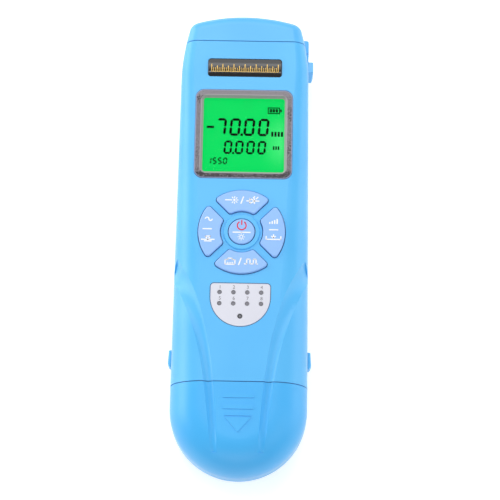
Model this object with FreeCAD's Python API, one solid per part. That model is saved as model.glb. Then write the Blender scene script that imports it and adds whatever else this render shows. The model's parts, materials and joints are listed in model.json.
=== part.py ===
import FreeCAD, Part

# Hand-held optical multimeter: an optical power meter with a visual fault locator, a wire tester with
# an RJ45 socket and a torch, in a moulded two-shell housing. Millimetres. It lies on its back: X goes
# across, Y towards the head with the ports, Z up out of the display. The origin is under its middle.

import math
import os

Vector = FreeCAD.Vector

# Housing outline, seen from the front
overall_length = 175.0
foot_width = 50.0
waist_width = 48.0
head_width = 39.4
shoulder_length = 24.5
shoulder_power = 1.8
head_arch_rise = 3.0
head_corner_radius = 5.0
head_flare = 0.279
barrel_spans = 11
shoulder_shares = (0.0, 0.3, 0.5, 0.7, 0.87, 1.05)

# Housing section
thickness = 30.0
wall = 2.0
parting_height = 17.5
front_radius_head = 4.0
front_radius_foot = 13.0
rear_radius_head = 6.0
rear_radius_foot = 11.0
plane_cut = 0.03
trimmer_overrun = 5.0

# Seams and collars
dust_cover_length = 11.0
foot_cover_length = 33.1
seam_gap = 0.3
slide_clearance = 0.3
collar_wall = 1.4
collar_root = 2.7
head_collar_reach = 2.0
foot_collar_reach = 7.0

# General clearances
moving_clearance = 0.3
fixed_clearance = 0.1
screw_clearance = 0.05

# Display
display_drop = 37.1
frame_width = 36.5
frame_height = 35.1
frame_corner = 3.3
frame_depth = 1.2
frame_proud = 0.15
frame_bevel = 0.8
frame_edge = 0.25
view_width = 30.3
view_height = 29.0
view_corner = 1.0
lip_overlap = 1.75
window_thickness = 0.8
glass_thickness = 1.8
glass_margin = 2.1
segment_thickness = 0.1
backlight_margin = 1.0
strip_width = 1.8

# Numerals of the display: cell width, height and stroke, and how far a numeral leans
big_digit = (3.9, 6.8, 0.85)
middle_digit = (3.0, 5.2, 0.7)
small_digit = (1.5, 2.6, 0.4)
digit_lean = 0.09
segment_gap = 0.12
lit_segments = {"0": "abcdef", "1": "bc", "5": "acdfg", "7": "abc"}

# Readings of the display: text, right end, height above the display's middle, numeral, pitch
readings = (
    ("70.00", 9.0, 0.0, big_digit, 5.3),
    ("0.000", 8.1, -7.2, middle_digit, 4.2),
    ("1550", -6.1, -11.3, small_digit, 1.95),
)

# Other marks of the display: middle across and up, width, height; rows of bars also count and pitch
minus_mark = (-12.5, 3.3, 2.6, 0.8)
battery_mark = (11.1, 10.1, 4.5, 2.5)
battery_outline = 0.3
battery_nub = (13.75, 10.1, 0.5, 1.0)
bar_rows = (
    (10.0, 10.1, 0.8, 1.2, 3, 1.1),
    (10.65, 0.8, 0.7, 1.8, 4, 1.2),
    (11.25, -4.65, 0.5, 1.3, 3, 0.9),
)

# Name plate above the display
plate_drop = 10.8
name_plate_width = 27.9
name_plate_height = 7.3
name_plate_corner = 1.2
name_plate_depth = 0.6
name_plate_crown = 0.5
name_plate_edge = 0.3

# Keys
keypad_drop = 38.1
power_key_radius = 4.8
power_ring_inner = 5.2
power_ring_outer = 6.8
power_ring_height = 0.5
sector_inner = 7.9
sector_outer = 15.9
sector_web = 3.2
sector_corner = 1.2
key_proud = 0.9
key_edge = 0.45
key_flange = 0.8
key_flange_thickness = 1.0
key_travel = 0.6
mat_radius = 17.0
mat_thickness = 0.6
dome_base_radius = 3.0
dome_top_radius = 1.9

# Indicator plate and its lights
indicator_drop = 19.2
indicator_width = 22.3
indicator_height = 16.5
indicator_corner = 1.5
indicator_thickness = 0.8
light_radius = 0.85
light_pitch = 5.04
light_rows = (3.6, 7.8)
link_light_row = 12.5
link_light_radius = 0.95
light_body = (1.6, 0.8, 0.6)
light_pipe_collar = 0.3

# Main board
board_width = 34.6
board_thickness = 1.6
board_corner = 1.5
board_foot_margin = 1.5
standoff = 5.2
board_post_radius = 2.0
board_screw_radius = 0.8
board_screw_length = 5.0
board_screw_x = 15.0
board_screw_margin = 3.4
pan_head_radius = 1.6
pan_head_height = 1.2

# Case screws
case_screw_x = 19.7
case_screw_head_drop = 21.6
case_screw_foot_drop = 16.4
case_screw_radius = 1.0
case_screw_length = 16.0
case_head_radius = 1.9
case_head_height = 1.5
counterbore_depth = 5.0
front_boss_radius = 2.2
rear_boss_radius = 3.2

# Port panel and ports
panel_thickness = 1.5
jack_x = -10.0
jack_size = (16.0, 16.8, 13.5)
jack_proud = 1.8
socket_width = 11.8
socket_height = 6.8
socket_depth = 12.4
socket_sill = 1.7
latch_slot = (6.2, 2.0)
latch_slot_stop = 3.0
contact_setback = 2.5
contact_rise = 1.7
contact_thickness = 0.4
contact_count = 8
contact_pitch = 1.02
contact_width = 0.45

fibre_x = 4.6
fibre_z = 14.0
fibre_thread_radius = 4.0
fibre_thread_length = 7.5
fibre_flange_radius = 5.0
fibre_flange_thickness = 1.4
fibre_tail_length = 5.5
fibre_nut_width = 11.0
fibre_nut_thickness = 2.0
ferrule_bore_radius = 1.26
ferrule_sleeve_radius = 1.9
sleeve_clearance = 0.02
fibre_recess_radius = 3.2
key_slot_width = 2.2
key_slot_length = 2.5
sleeve_setback = 0.8
adapter_floor = 1.5
port_chamfer = 0.3
diode_radius = 3.1
diode_length = 5.0
diode_rim = 1.0
diode_step = 0.4

locator_x = 13.6
locator_z = 17.4
locator_radius = 3.4
locator_length = 6.6
locator_flange_radius = 4.2
locator_flange_thickness = 1.2
locator_tail_length = 1.0
laser_radius = 3.0
laser_length = 13.0
laser_neck_length = 3.0
laser_step = 0.5
laser_pin_width = 0.6

torch_x = 13.6
torch_z = 9.0
torch_radius = 2.5
torch_proud = 3.6
torch_rim = 0.4
torch_rim_thickness = 1.0

# Parts under the board: place across, and width, length and height
screw_slot_width = 0.5
lead_width = 0.5
lead_length = 2.5
lead_spread = 1.27
chip_gap = 0.1
chip_leg_reach = 0.8
chip_leg_margin = 0.6
chip_leg_thickness = 0.3
processor_x = 4.0
processor_below_display = 8.0
processor_size = (10.0, 10.0, 1.5)
signal_chip_x = 8.0
signal_chip_size = (4.0, 8.0, 1.6)
crystal_x = -9.0
crystal_above_keypad = 12.0
crystal_size = (11.0, 4.6, 3.4)
buzzer_x = -8.0
buzzer_above_display = 4.0
buzzer_radius = 6.0
buzzer_height = 6.2
buzzer_sound_hole = 1.0
buzzer_sound_depth = 2.0

# Battery: three AAA cells side by side in a sleeve
cell_count = 3
cell_diameter = 10.5
cell_length = 44.5
cell_nub_radius = 1.9
cell_nub_length = 1.2
cell_edge = 0.5
cell_clearance = 0.2
sleeve_web = 0.5
sleeve_wall = 1.0
sleeve_corner = 5.0
cell_foot_margin = 13.0
sleeve_show = 1.5
contact_board_thickness = 1.2
contact_button_radius = 2.4
button_length = 1.6
button_bevel = 0.6
leaf_thickness = 0.3
leaf_width = 4.0
leaf_rise = 3.6
carrier_thickness = 1.2
carrier_width = 27.0
carrier_height = 8.0
carrier_rib = 1.6
carrier_corner = 1.0
leaf_end_margin = 2.0
rest_rib_width = 1.5
rest_rib_x = 9.5
rest_rib_length = 20.0

# Squeeze latches
latch_length = 6.4
latch_height = 6.4
latch_z = 12.8
latch_seam_distance = 7.9
latch_proud = 1.1
latch_slant = 0.4
latch_end_radius = 1.6
latch_lip = 0.6
latch_hole_corner = 1.0
latch_top_radius = 0.4
latch_pad_edge = 0.9
latch_flange_gap = 0.5
latch_flange_thickness = 1.0
latch_travel = 1.2
latch_arm_thickness = 1.0
latch_arm_height = 4.0
latch_nose_length = 2.0
spring_leaf_thickness = 0.3
spring_leaf_width = 4.0
spring_leaf_length = 13.0

# Dust cover strap
strap_outer_x = 24.2
strap_thickness = 1.1
strap_bottom = 8.0
strap_height = 8.0
anchor_outer_x = 26.0
anchor_drop = 2.6
anchor_length = 5.4
anchor_flat = 3.8
anchor_plug_height = 3.0
anchor_plug_length = 1.7
anchor_head_margin = 0.6
ear_start = 1.0
ear_length = 5.2
ear_corner = 0.8
anchor_taper = 0.6
anchor_corner = 0.4
anchor_plug_setback = 0.5
anchor_plug_reach = 1.6
anchor_plug_grip = 1.0

# Scooped channels down the front
channel_depth = 0.8
channel_top_drop = 13.9
channel_foot_margin = 8.0
channel_foot_x = 8.4
channel_foot_width = 2.5
channel_flank_inset = 0.6
channel_end_share = 0.4
channel_deepening = 4.0

# Embossed release mark on the foot cover
emboss_height = 0.25
emboss_bar_width = 11.0
emboss_bar_height = 1.9
emboss_bar_pitch = 4.1
emboss_start = 3.9
emboss_corner = 0.3
emboss_line = 0.5
emboss_gap = 0.45
arrow_width = 9.6
arrow_height = 5.5

# Places that follow from the sizes above
head_end_y = overall_length / 2
foot_end_y = -overall_length / 2
head_seam_y = head_end_y - dust_cover_length
foot_seam_y = foot_end_y + foot_cover_length
shoulder_y = head_end_y - shoulder_length
dome_radius = foot_width / 2
dome_y = foot_end_y + dome_radius
half_gap = seam_gap / 2
inner_front = thickness - wall

display_y = head_seam_y - display_drop
name_plate_y = head_seam_y - plate_drop
keypad_y = display_y - keypad_drop
indicator_top_y = keypad_y - indicator_drop
indicator_y = indicator_top_y - indicator_height / 2

board_top = inner_front - standoff
board_bottom = board_top - board_thickness
panel_front_y = head_seam_y - half_gap - collar_root - fixed_clearance
panel_rear_y = panel_front_y - panel_thickness
board_head_y = panel_rear_y - fixed_clearance

frame_floor = thickness - frame_depth
window_floor = frame_floor - window_thickness
glass_top = window_floor - segment_thickness - fixed_clearance
glass_bottom = glass_top - glass_thickness

flange_top = inner_front - moving_clearance
flange_bottom = flange_top - key_flange_thickness
dome_top = flange_bottom - key_travel - moving_clearance

cell_pitch = cell_diameter + 2 * cell_clearance
sleeve_half_width = (cell_count * cell_pitch + (cell_count - 1) * sleeve_web) / 2 + sleeve_wall
sleeve_top = board_bottom - fixed_clearance
sleeve_bottom = sleeve_top - cell_pitch - 2 * sleeve_wall
cell_z = (sleeve_top + sleeve_bottom) / 2
cell_foot_y = foot_end_y + cell_foot_margin
cell_head_y = cell_foot_y + cell_length
sleeve_foot_y = cell_foot_y + sleeve_show
sleeve_head_y = cell_head_y + button_length + fixed_clearance
board_foot_y = min(indicator_top_y - indicator_height, sleeve_head_y) - board_foot_margin

latch_y = foot_seam_y + latch_seam_distance + latch_length / 2
collar_inset = wall + slide_clearance


# Basic shapes

def rounded_wire(corners, lift):
    """Closed wire through corners given as (u, v, radius); lift turns (u, v) into a point in space."""
    ends = []
    for index, (u, v, radius) in enumerate(corners):
        here = Vector(u, v, 0)
        before = Vector(corners[index - 1][0], corners[index - 1][1], 0) - here
        after_corner = corners[(index + 1) % len(corners)]
        after = Vector(after_corner[0], after_corner[1], 0) - here
        if radius <= 0:
            ends.append((here, None, here))
            continue
        before.normalize()
        after.normalize()
        half_turn = before.getAngle(after) / 2
        reach = radius / math.tan(half_turn)
        inward = before + after
        inward.normalize()
        middle = here + inward * (radius / math.sin(half_turn) - radius)
        ends.append((here + before * reach, middle, here + after * reach))
    edges = []
    for index, (start, middle, end) in enumerate(ends):
        if middle is not None:
            arc = Part.Arc(lift(start.x, start.y), lift(middle.x, middle.y), lift(end.x, end.y))
            edges.append(arc.toShape())
        following = ends[(index + 1) % len(ends)][0]
        if end.distanceToPoint(following) > 1e-6:
            edges.append(Part.makeLine(lift(end.x, end.y), lift(following.x, following.y)))
    return Part.Wire(edges)


def prism(corners, low, high):
    """Solid with an XY outline, between two heights."""
    wire = rounded_wire(corners, lambda u, v: Vector(u, v, low))
    return Part.Face(wire).extrude(Vector(0, 0, high - low))


def bar_along_y(corners, low, high):
    """Solid with an XZ outline, between two places along Y."""
    wire = rounded_wire(corners, lambda u, v: Vector(u, low, v))
    return Part.Face(wire).extrude(Vector(0, high - low, 0))


def bar_along_x(corners, low, high):
    """Solid with a YZ outline, between two places along X."""
    wire = rounded_wire(corners, lambda u, v: Vector(low, u, v))
    return Part.Face(wire).extrude(Vector(high - low, 0, 0))


def rectangle(centre_u, centre_v, width, height, radius=0.0):
    """Corners of a rectangle, all with one radius."""
    left, right = centre_u - width / 2, centre_u + width / 2
    low, high = centre_v - height / 2, centre_v + height / 2
    return [(left, low, radius), (right, low, radius), (right, high, radius), (left, high, radius)]


def block(x_low, x_high, y_low, y_high, z_low, z_high):
    """Plain block between its limits."""
    corner = Vector(x_low, y_low, z_low)
    return Part.makeBox(x_high - x_low, y_high - y_low, z_high - z_low, corner)


def upright(x, y, radius, low, high):
    """Cylinder along Z."""
    return Part.makeCylinder(radius, high - low, Vector(x, y, low))


def turned(profile, x, z):
    """Solid turned about an axis along Y at (x, z), from (radius, y) points."""
    wire = Part.makePolygon([Vector(radius, y, 0) for radius, y in profile + profile[:1]])
    solid = Part.Face(wire).revolve(Vector(0, 0, 0), Vector(0, 1, 0), 360)
    solid.translate(Vector(x, 0, z))
    return solid


def mirrored(shape):
    """The same shape on the other side of the middle plane."""
    return shape.mirror(Vector(0, 0, 0), Vector(1, 0, 0))


def filleted(solid, radius, wanted):
    """Solid with a fillet on every edge for which wanted(bounding box) is true."""
    edges = [edge for edge in solid.Edges if wanted(edge.BoundBox)]
    return solid.makeFillet(radius, edges)


def top_filleted(solid, radius):
    """Solid with a fillet round its top face."""
    top = solid.BoundBox.ZMax
    return filleted(solid, radius, lambda box: box.ZMin > top - 1e-4)


# Housing form: sections that swell from the head to the foot

def half_width(y):
    """Half the width of the housing at a place along its length."""
    if y <= foot_seam_y:
        return foot_width / 2
    if y <= shoulder_y:
        share = (y - foot_seam_y) / (shoulder_y - foot_seam_y)
        return (foot_width + (waist_width - foot_width) * share) / 2
    share = (y - shoulder_y) / shoulder_length
    return (waist_width - (waist_width - head_width) * share ** shoulder_power) / 2


def edge_radius(y, at_head, at_foot):
    """Radius of a long edge, which grows evenly from the head end to the foot seam."""
    share = (head_end_y - max(y, foot_seam_y)) / (head_end_y - foot_seam_y)
    return at_head + (at_foot - at_head) * min(max(share, 0.0), 1.0)


def section_corners(y, inset, overshoot=0.0):
    """Corners of the housing's XZ section, drawn in by inset all round; overshoot adds to its height."""
    side = half_width(y) - inset
    rear = max(edge_radius(y, rear_radius_head, rear_radius_foot) - inset, 0.6)
    front = max(edge_radius(y, front_radius_head, front_radius_foot) - inset, 0.6)
    low, high = inset - overshoot, thickness - inset + overshoot
    return [(-side, low, rear), (side, low, rear), (side, high, front), (-side, high, front)]


def stretch(inset, stations, straight):
    """Loft of the section through the stations, straight between them or smooth, planed front and back."""
    wires = []
    for y in stations:
        corners = section_corners(y, inset, plane_cut)
        wires.append(rounded_wire(corners, lambda u, v, y=y: Vector(u, y, v)))
    loft = Part.makeLoft(wires, True, straight)
    slab = block(-foot_width, foot_width, stations[0] - 1, stations[-1] + 1, inset, thickness - inset)
    return loft.common(slab)


def short_stretch(inset, low, high):
    """The housing's form between two nearby places."""
    return stretch(inset, [low, (low + high) / 2, high], False)


def collar(root_low, root_high, tip_low, tip_high):
    """Band of wall with a spigot that runs out of it; one surface is its whole inner side."""
    band = short_stretch(wall / 2, root_low, root_high)
    spigot = short_stretch(collar_inset, tip_low, tip_high)
    low, high = min(root_low, tip_low) - 1, max(root_high, tip_high) + 1
    return band.fuse(spigot).cut(short_stretch(collar_inset + collar_wall, low, high))


def head_trimmer(inset):
    """Block with the arched head end, its corners and edges rounded; it trims the loft there."""
    arch_radius = (head_width ** 2 / 4 + head_arch_rise ** 2) / (2 * head_arch_rise) - inset
    end_y = head_end_y - inset
    slant = math.hypot(1, head_flare)
    end_x = head_width / 2 + fixed_clearance + head_flare * inset - slant * inset
    a = 1 + head_flare ** 2
    b = 2 * arch_radius - 2 * end_x * head_flare
    drop = (b - math.sqrt(b * b - 4 * a * end_x ** 2)) / (2 * a)
    corner = (end_x + head_flare * drop, end_y - drop)
    flare_length = shoulder_length + trimmer_overrun
    flare_end = (end_x + head_flare * flare_length, end_y - flare_length)
    far_y = foot_seam_y - trimmer_overrun
    points = [
        Vector(-corner[0], corner[1], inset),
        Vector(-flare_end[0], flare_end[1], inset),
        Vector(-flare_end[0], far_y, inset),
        Vector(flare_end[0], far_y, inset),
        Vector(flare_end[0], flare_end[1], inset),
        Vector(corner[0], corner[1], inset),
    ]
    edges = [Part.makeLine(points[index], points[index + 1]) for index in range(len(points) - 1)]
    edges.append(Part.Arc(points[-1], Vector(0, end_y, inset), points[0]).toShape())
    solid = Part.Face(Part.Wire(edges)).extrude(Vector(0, 0, thickness - 2 * inset))
    corner_low = corner[1] - 0.01
    solid = filleted(solid, head_corner_radius - inset,
                     lambda box: box.ZLength > 1 and box.YMin > corner_low)
    edge_low = flare_end[1] - 0.01
    return filleted(solid, front_radius_head - inset,
                    lambda box: box.ZLength < 0.01 and box.YMin > edge_low)


def body_form(inset):
    """The housing from the foot seam to the arched head end, drawn in by inset."""
    step = (shoulder_y - foot_seam_y) / barrel_spans
    barrel = stretch(inset, [foot_seam_y + step * index for index in range(barrel_spans + 1)], True)
    shoulders = stretch(inset, [shoulder_y + shoulder_length * share for share in shoulder_shares], False)
    return barrel.fuse(shoulders.common(head_trimmer(inset)))


def foot_form(inset, upper_y):
    """The foot: a half-turn dome with a straight stretch up to upper_y."""
    corners = section_corners(dome_y, inset)
    rear, front = corners[0][2], corners[2][2]
    side = dome_radius - inset
    low, high = inset, thickness - inset
    half = [(0, low, 0), (0, high, 0), (-side, high, front), (-side, low, rear)]
    wire = rounded_wire(half, lambda u, v: Vector(u, dome_y, v))
    dome = Part.Face(wire).revolve(Vector(0, dome_y, 0), Vector(0, 0, 1), 180)
    return dome.fuse(bar_along_y(corners, dome_y, upper_y)).removeSplitter()


def front_surface(x, y):
    """Point on the housing's front and the direction square to it there."""
    if y >= dome_y:
        outward = Vector(math.copysign(1, x), 0, 0)
        depth = half_width(y) - abs(x)
    else:
        outward = Vector(x, y - dome_y, 0)
        depth = dome_radius - outward.Length
        outward.normalize()
    radius = edge_radius(y, front_radius_head, front_radius_foot)
    if depth >= radius:
        return Vector(x, y, thickness), Vector(0, 0, 1)
    lean = (radius - depth) / radius
    rise = math.sqrt(max(1 - lean * lean, 0.0))
    return Vector(x, y, thickness - radius + radius * rise), outward * lean + Vector(0, 0, rise)


def channel():
    """Cutter for one scooped channel: it runs from the flank down to the foot and narrows."""
    top_y = keypad_y - channel_top_drop
    foot_y = foot_end_y + channel_foot_margin
    reach = half_width(top_y) - channel_flank_inset - channel_foot_x
    marks = []
    for share in (0.0, 0.07, 0.16, 0.26, 0.36, 0.52, 0.66, 0.77, 0.85, 0.91, 0.96, 1.0):
        x = channel_foot_x + reach * (0.36 * share + 0.64 * share ** 3.4)
        y = foot_y + (top_y - foot_y) * share
        width = channel_foot_width * (1 + 0.9 * share + 2.1 * share ** 4)
        depth = channel_depth * min(channel_end_share + channel_deepening * share, 1.0)
        place, square = front_surface(x, y)
        radius = (width ** 2 / 4 + depth ** 2) / (2 * depth)
        marks.append((place + square * (radius - depth), place, radius))
    circles = []
    for index, (centre, place, radius) in enumerate(marks):
        before = marks[max(index - 1, 0)][1]
        after = marks[min(index + 1, len(marks) - 1)][1]
        circles.append(Part.Wire(Part.Circle(centre, after - before, radius).toShape()))
    return Part.makeLoft(circles, True, False)


# Outlines that several pieces share

def sector(grow, low, high):
    """Top key's outline, grown all round, between two heights; the other keys are turned copies."""
    offset = sector_web / 2 - grow
    corner = []
    for radius in (sector_inner - grow, sector_outer + grow):
        along = math.sqrt(radius ** 2 - offset ** 2)
        corner.append(((along - offset) / math.sqrt(2), (along + offset) / math.sqrt(2)))
    (inner_x, inner_y), (outer_x, outer_y) = corner
    inner_right, inner_left = Vector(inner_x, inner_y, low), Vector(-inner_x, inner_y, low)
    outer_right, outer_left = Vector(outer_x, outer_y, low), Vector(-outer_x, outer_y, low)
    edges = [
        Part.makeLine(inner_right, outer_right),
        Part.Arc(outer_right, Vector(0, sector_outer + grow, low), outer_left).toShape(),
        Part.makeLine(outer_left, inner_left),
        Part.Arc(inner_left, Vector(0, sector_inner - grow, low), inner_right).toShape(),
    ]
    solid = Part.Face(Part.Wire(edges)).extrude(Vector(0, 0, high - low))
    solid = filleted(solid, sector_corner + grow, lambda box: box.ZLength > (high - low) / 2)
    solid.translate(Vector(0, keypad_y, 0))
    return solid


def turned_about_keypad(shape, angle):
    """Copy of a key shape, turned about the middle of the keypad."""
    copy = shape.copy()
    copy.rotate(Vector(0, keypad_y, 0), Vector(0, 0, 1), angle)
    return copy


def indicator_outline(shrink, low, high):
    """The indicator plate's outline: flat at the top, half round at the bottom."""
    side = indicator_width / 2 - shrink
    top = indicator_top_y - shrink
    bottom = indicator_top_y - indicator_height + shrink
    corners = [
        (-side, bottom, side), (side, bottom, side),
        (side, top, indicator_corner), (-side, top, indicator_corner),
    ]
    return prism(corners, low, high)


def light_places():
    """Places of the eight wire lights."""
    columns = [(column - 1.5) * light_pitch for column in range(4)]
    return [(x, indicator_top_y - row) for row in light_rows for x in columns]


def board_screw_places():
    """Places of the four screws that hold the board, clear of the display, the keys and the sleeve."""
    upper = display_y - frame_height / 2 - board_screw_margin
    sleeve_clear_y = sleeve_head_y + contact_board_thickness + pan_head_radius + moving_clearance
    lower = max(keypad_y - sector_outer, sleeve_clear_y)
    return [(side * board_screw_x, y) for y in (lower, upper) for side in (-1, 1)]


def case_screw_places():
    """Places of the four screws that hold the two shells together."""
    rows = (keypad_y - case_screw_foot_drop, head_seam_y - case_screw_head_drop)
    return [(side * case_screw_x, y) for y in rows for side in (-1, 1)]


def latch_hole(grow, x_low, x_high):
    """The right-hand latch's outline on the flank, grown all round."""
    length = latch_length + 2 * grow
    height = latch_height + 2 * grow
    return bar_along_x(rectangle(latch_y, latch_z, length, height, latch_hole_corner), x_low, x_high)


# Housing pieces

def housing(hollow):
    """Both shells in one, before they are parted: wall, spigot into the dust cover, foot neck."""
    low, high = foot_seam_y + half_gap, head_seam_y - half_gap
    slab = block(-foot_width, foot_width, low, high, -1, thickness + 1)
    walls = hollow.common(slab)
    collars = [
        collar(high - collar_root, high, high - 1, high + head_collar_reach),
        collar(low, low + collar_root, low - foot_collar_reach, low + 1),
    ]
    return walls.fuse(collars)


def front_shell(both, core):
    """Front shell with the openings for the display, keys and lights, and its screw bosses."""
    front = block(-foot_width, foot_width, foot_end_y, head_end_y, parting_height, thickness + 1)
    shell = both.common(front)

    bosses = [upright(x, y, front_boss_radius, parting_height, thickness)
              for x, y in case_screw_places()]
    posts = [upright(x, y, board_post_radius, board_top, thickness) for x, y in board_screw_places()]
    shell = shell.fuse(bosses[0].multiFuse(bosses[1:] + posts).common(core))

    key_ring = upright(0, keypad_y, power_ring_outer, inner_front + 0.5, thickness + power_ring_height)
    shell = shell.fuse(top_filleted(key_ring, power_ring_height * 0.9))

    cuts = [
        prism(rectangle(0, display_y, frame_width, frame_height, frame_corner), frame_floor, thickness + 1),
        prism(rectangle(0, display_y, frame_width - 2 * lip_overlap, frame_height - 2 * lip_overlap,
                        frame_corner - lip_overlap), inner_front - 1, thickness),
        prism(rectangle(0, name_plate_y, name_plate_width, name_plate_height, name_plate_corner),
              thickness - name_plate_depth, thickness + 1),
        indicator_outline(0, thickness - indicator_thickness, thickness + 1),
        upright(0, keypad_y, power_key_radius + moving_clearance, inner_front - 1, thickness + 1),
    ]
    hole = sector(moving_clearance, inner_front - 1, thickness + 1)
    cuts += [turned_about_keypad(hole, 90 * turn) for turn in range(4)]
    cuts += [upright(x, y, light_radius, inner_front - 1, thickness) for x, y in light_places()]
    cuts.append(upright(0, indicator_top_y - link_light_row, link_light_radius, inner_front - 1, thickness))
    pilot = case_screw_radius + screw_clearance
    cuts += [upright(x, y, pilot, parting_height - 1, counterbore_depth + case_screw_length + 1)
             for x, y in case_screw_places()]
    pilot = board_screw_radius + screw_clearance
    cuts += [upright(x, y, pilot, board_top - 1, board_bottom + board_screw_length + 0.5)
             for x, y in board_screw_places()]
    scoop = channel()
    cuts += [scoop, mirrored(scoop)]
    return shell.cut(cuts)


def latch_window():
    """Slot in the foot neck through which the right-hand latch's nose reaches the foot cover."""
    y_low, y_high = latch_nose_span()
    half = latch_arm_height / 2 + moving_clearance
    return block(foot_width / 2 - collar_inset - collar_wall - 1, foot_width / 2 - wall,
                 y_low - moving_clearance, y_high + moving_clearance, latch_z - half, latch_z + half)


def latch_nose_span():
    """Where the latch's nose lies along the neck."""
    y_low = foot_seam_y + half_gap - foot_collar_reach / 2 - latch_nose_length / 2
    return y_low, y_low + latch_nose_length


def rear_shell(both, core):
    """Rear shell with deep screw wells, ribs under the battery sleeve, latch and strap openings."""
    rear = block(-foot_width, foot_width, foot_end_y, head_end_y, -1, parting_height)
    shell = both.common(rear)
    inner = [upright(x, y, rear_boss_radius, 0, parting_height) for x, y in case_screw_places()]
    for side in (-1, 1):
        rib_x = side * rest_rib_x
        inner.append(block(rib_x - rest_rib_width / 2, rib_x + rest_rib_width / 2,
                           sleeve_head_y - rest_rib_length, sleeve_head_y, 0, sleeve_bottom))
    shell = shell.fuse(inner[0].multiFuse(inner[1:]).common(core))

    cuts = []
    for x, y in case_screw_places():
        cuts.append(upright(x, y, case_head_radius + fixed_clearance, -1, counterbore_depth))
        cuts.append(upright(x, y, case_screw_radius + screw_clearance, 0, parting_height + 1))
    side_hole = latch_hole(moving_clearance, foot_width / 2 - 2 * wall, foot_width)
    window = latch_window()
    cuts += [side_hole, mirrored(side_hole), window, mirrored(window)]
    y_low, y_high, z_low, z_high = anchor_plug_span(fixed_clearance)
    cuts.append(block(waist_width / 2 - 2 * wall, waist_width, y_low, y_high, z_low, z_high))
    return shell.cut(cuts)


def foot_cover():
    """Pull-off battery cover: domed, with the channels' ends and the embossed release mark."""
    top_y = foot_seam_y - half_gap
    shell = foot_form(0, top_y).cut(foot_form(wall, top_y + 1))
    ribs = [block(side * carrier_width / 4 - carrier_rib / 2, side * carrier_width / 4 + carrier_rib / 2,
                  foot_end_y, carrier_y(), cell_z - carrier_height / 2, cell_z + carrier_height / 2)
            for side in (-1, 1)]
    ribs = ribs[0].fuse(ribs[1]).common(foot_form(wall / 2, top_y))
    outlines = []
    for index in range(2):
        y = top_y - emboss_start - index * emboss_bar_pitch - emboss_bar_height / 2
        outlines.append(rectangle(0, y, emboss_bar_width, emboss_bar_height, emboss_corner))
    line_y = top_y - emboss_start - 2 * emboss_bar_pitch
    outlines.append(rectangle(0, line_y, arrow_width, emboss_line))
    arrow_y = line_y - emboss_line / 2 - emboss_gap
    outlines.append([(-arrow_width / 2, arrow_y, 0), (0, arrow_y - arrow_height, 0),
                     (arrow_width / 2, arrow_y, 0)])
    marks = [prism(corners, thickness - wall / 2, thickness + emboss_height) for corners in outlines]
    scoop = channel()
    return shell.fuse([ribs] + marks).cut([scoop, mirrored(scoop)])


def carrier_y():
    """Where the contact carrier stands on the foot cover's ribs."""
    return cell_foot_y - moving_clearance - leaf_rise - carrier_thickness


def dust_cover(hollow, core):
    """Soft cap over the ports, with the ear that its strap runs to."""
    low = head_seam_y + half_gap
    slab = block(-foot_width, foot_width, low, head_end_y + 1, -1, thickness + 1)
    cap = hollow.common(slab)
    ear_low = head_seam_y + ear_start
    corners = [
        (head_width / 2 - 1, ear_low, 0), (strap_outer_x, ear_low, 0),
        (strap_outer_x, ear_low + ear_length, ear_corner), (head_width / 2 - 1, ear_low + ear_length, 0),
    ]
    ear = prism(corners, strap_bottom, strap_bottom + strap_height).cut(core)
    return cap.fuse(largest(ear))


def largest(shape):
    """The biggest solid of a shape."""
    return max(shape.Solids, key=lambda solid: solid.Volume)


def anchor_plug_span(grow):
    """Limits of the anchor's plug in the rear shell, along Y and Z."""
    middle_y = anchor_top_y() - anchor_length + anchor_plug_length / 2 + anchor_head_margin
    middle_y += anchor_plug_setback
    middle_z = strap_bottom + strap_height / 2
    half_y = anchor_plug_length / 2 + grow
    half_z = anchor_plug_height / 2 + grow
    return middle_y - half_y, middle_y + half_y, middle_z - half_z, middle_z + half_z


def anchor_top_y():
    """Upper end of the anchor block."""
    return head_seam_y - anchor_drop


def strap_anchor():
    """Block on the flank that holds the strap, with a plug through the rear shell."""
    top = anchor_top_y()
    bottom = top - anchor_length
    middle = top - anchor_length / 2
    bend = top - anchor_flat
    inner_x = waist_width / 2 - wall
    corners = [
        (inner_x, bottom, 0), (anchor_outer_x - anchor_taper, bottom, anchor_corner),
        (anchor_outer_x, bend, 0), (anchor_outer_x, top, anchor_corner), (inner_x, top, 0),
    ]
    strap_top = strap_bottom + strap_height
    slope = [
        (bend, strap_top, 0), (bottom, strap_bottom, 0), (bottom - 1, strap_bottom, 0), (bottom - 1, strap_top, 0),
    ]
    body = prism(corners, strap_bottom, strap_top).cut(bar_along_x(slope, 0, anchor_outer_x + 1))
    outside = short_stretch(-screw_clearance, bottom - 2, top + 2)
    body = largest(body.cut(outside))
    y_low, y_high, z_low, z_high = anchor_plug_span(0)
    tip_x = half_width(middle) - wall - anchor_plug_reach
    stem = block(tip_x, half_width(middle) + anchor_corner, y_low, y_high, z_low, z_high)
    head = block(tip_x, tip_x + anchor_plug_grip, y_low - anchor_head_margin, y_high + anchor_head_margin,
                 z_low - anchor_head_margin, z_high + anchor_head_margin)
    return body.fuse([stem, head])


def hinge_strip():
    """Thin web of the strap, which bends when the dust cover swings open."""
    return block(strap_outer_x - strap_thickness, strap_outer_x, anchor_top_y(),
                 head_seam_y + ear_start - moving_clearance, strap_bottom, strap_bottom + strap_height)


# Front fittings

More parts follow.
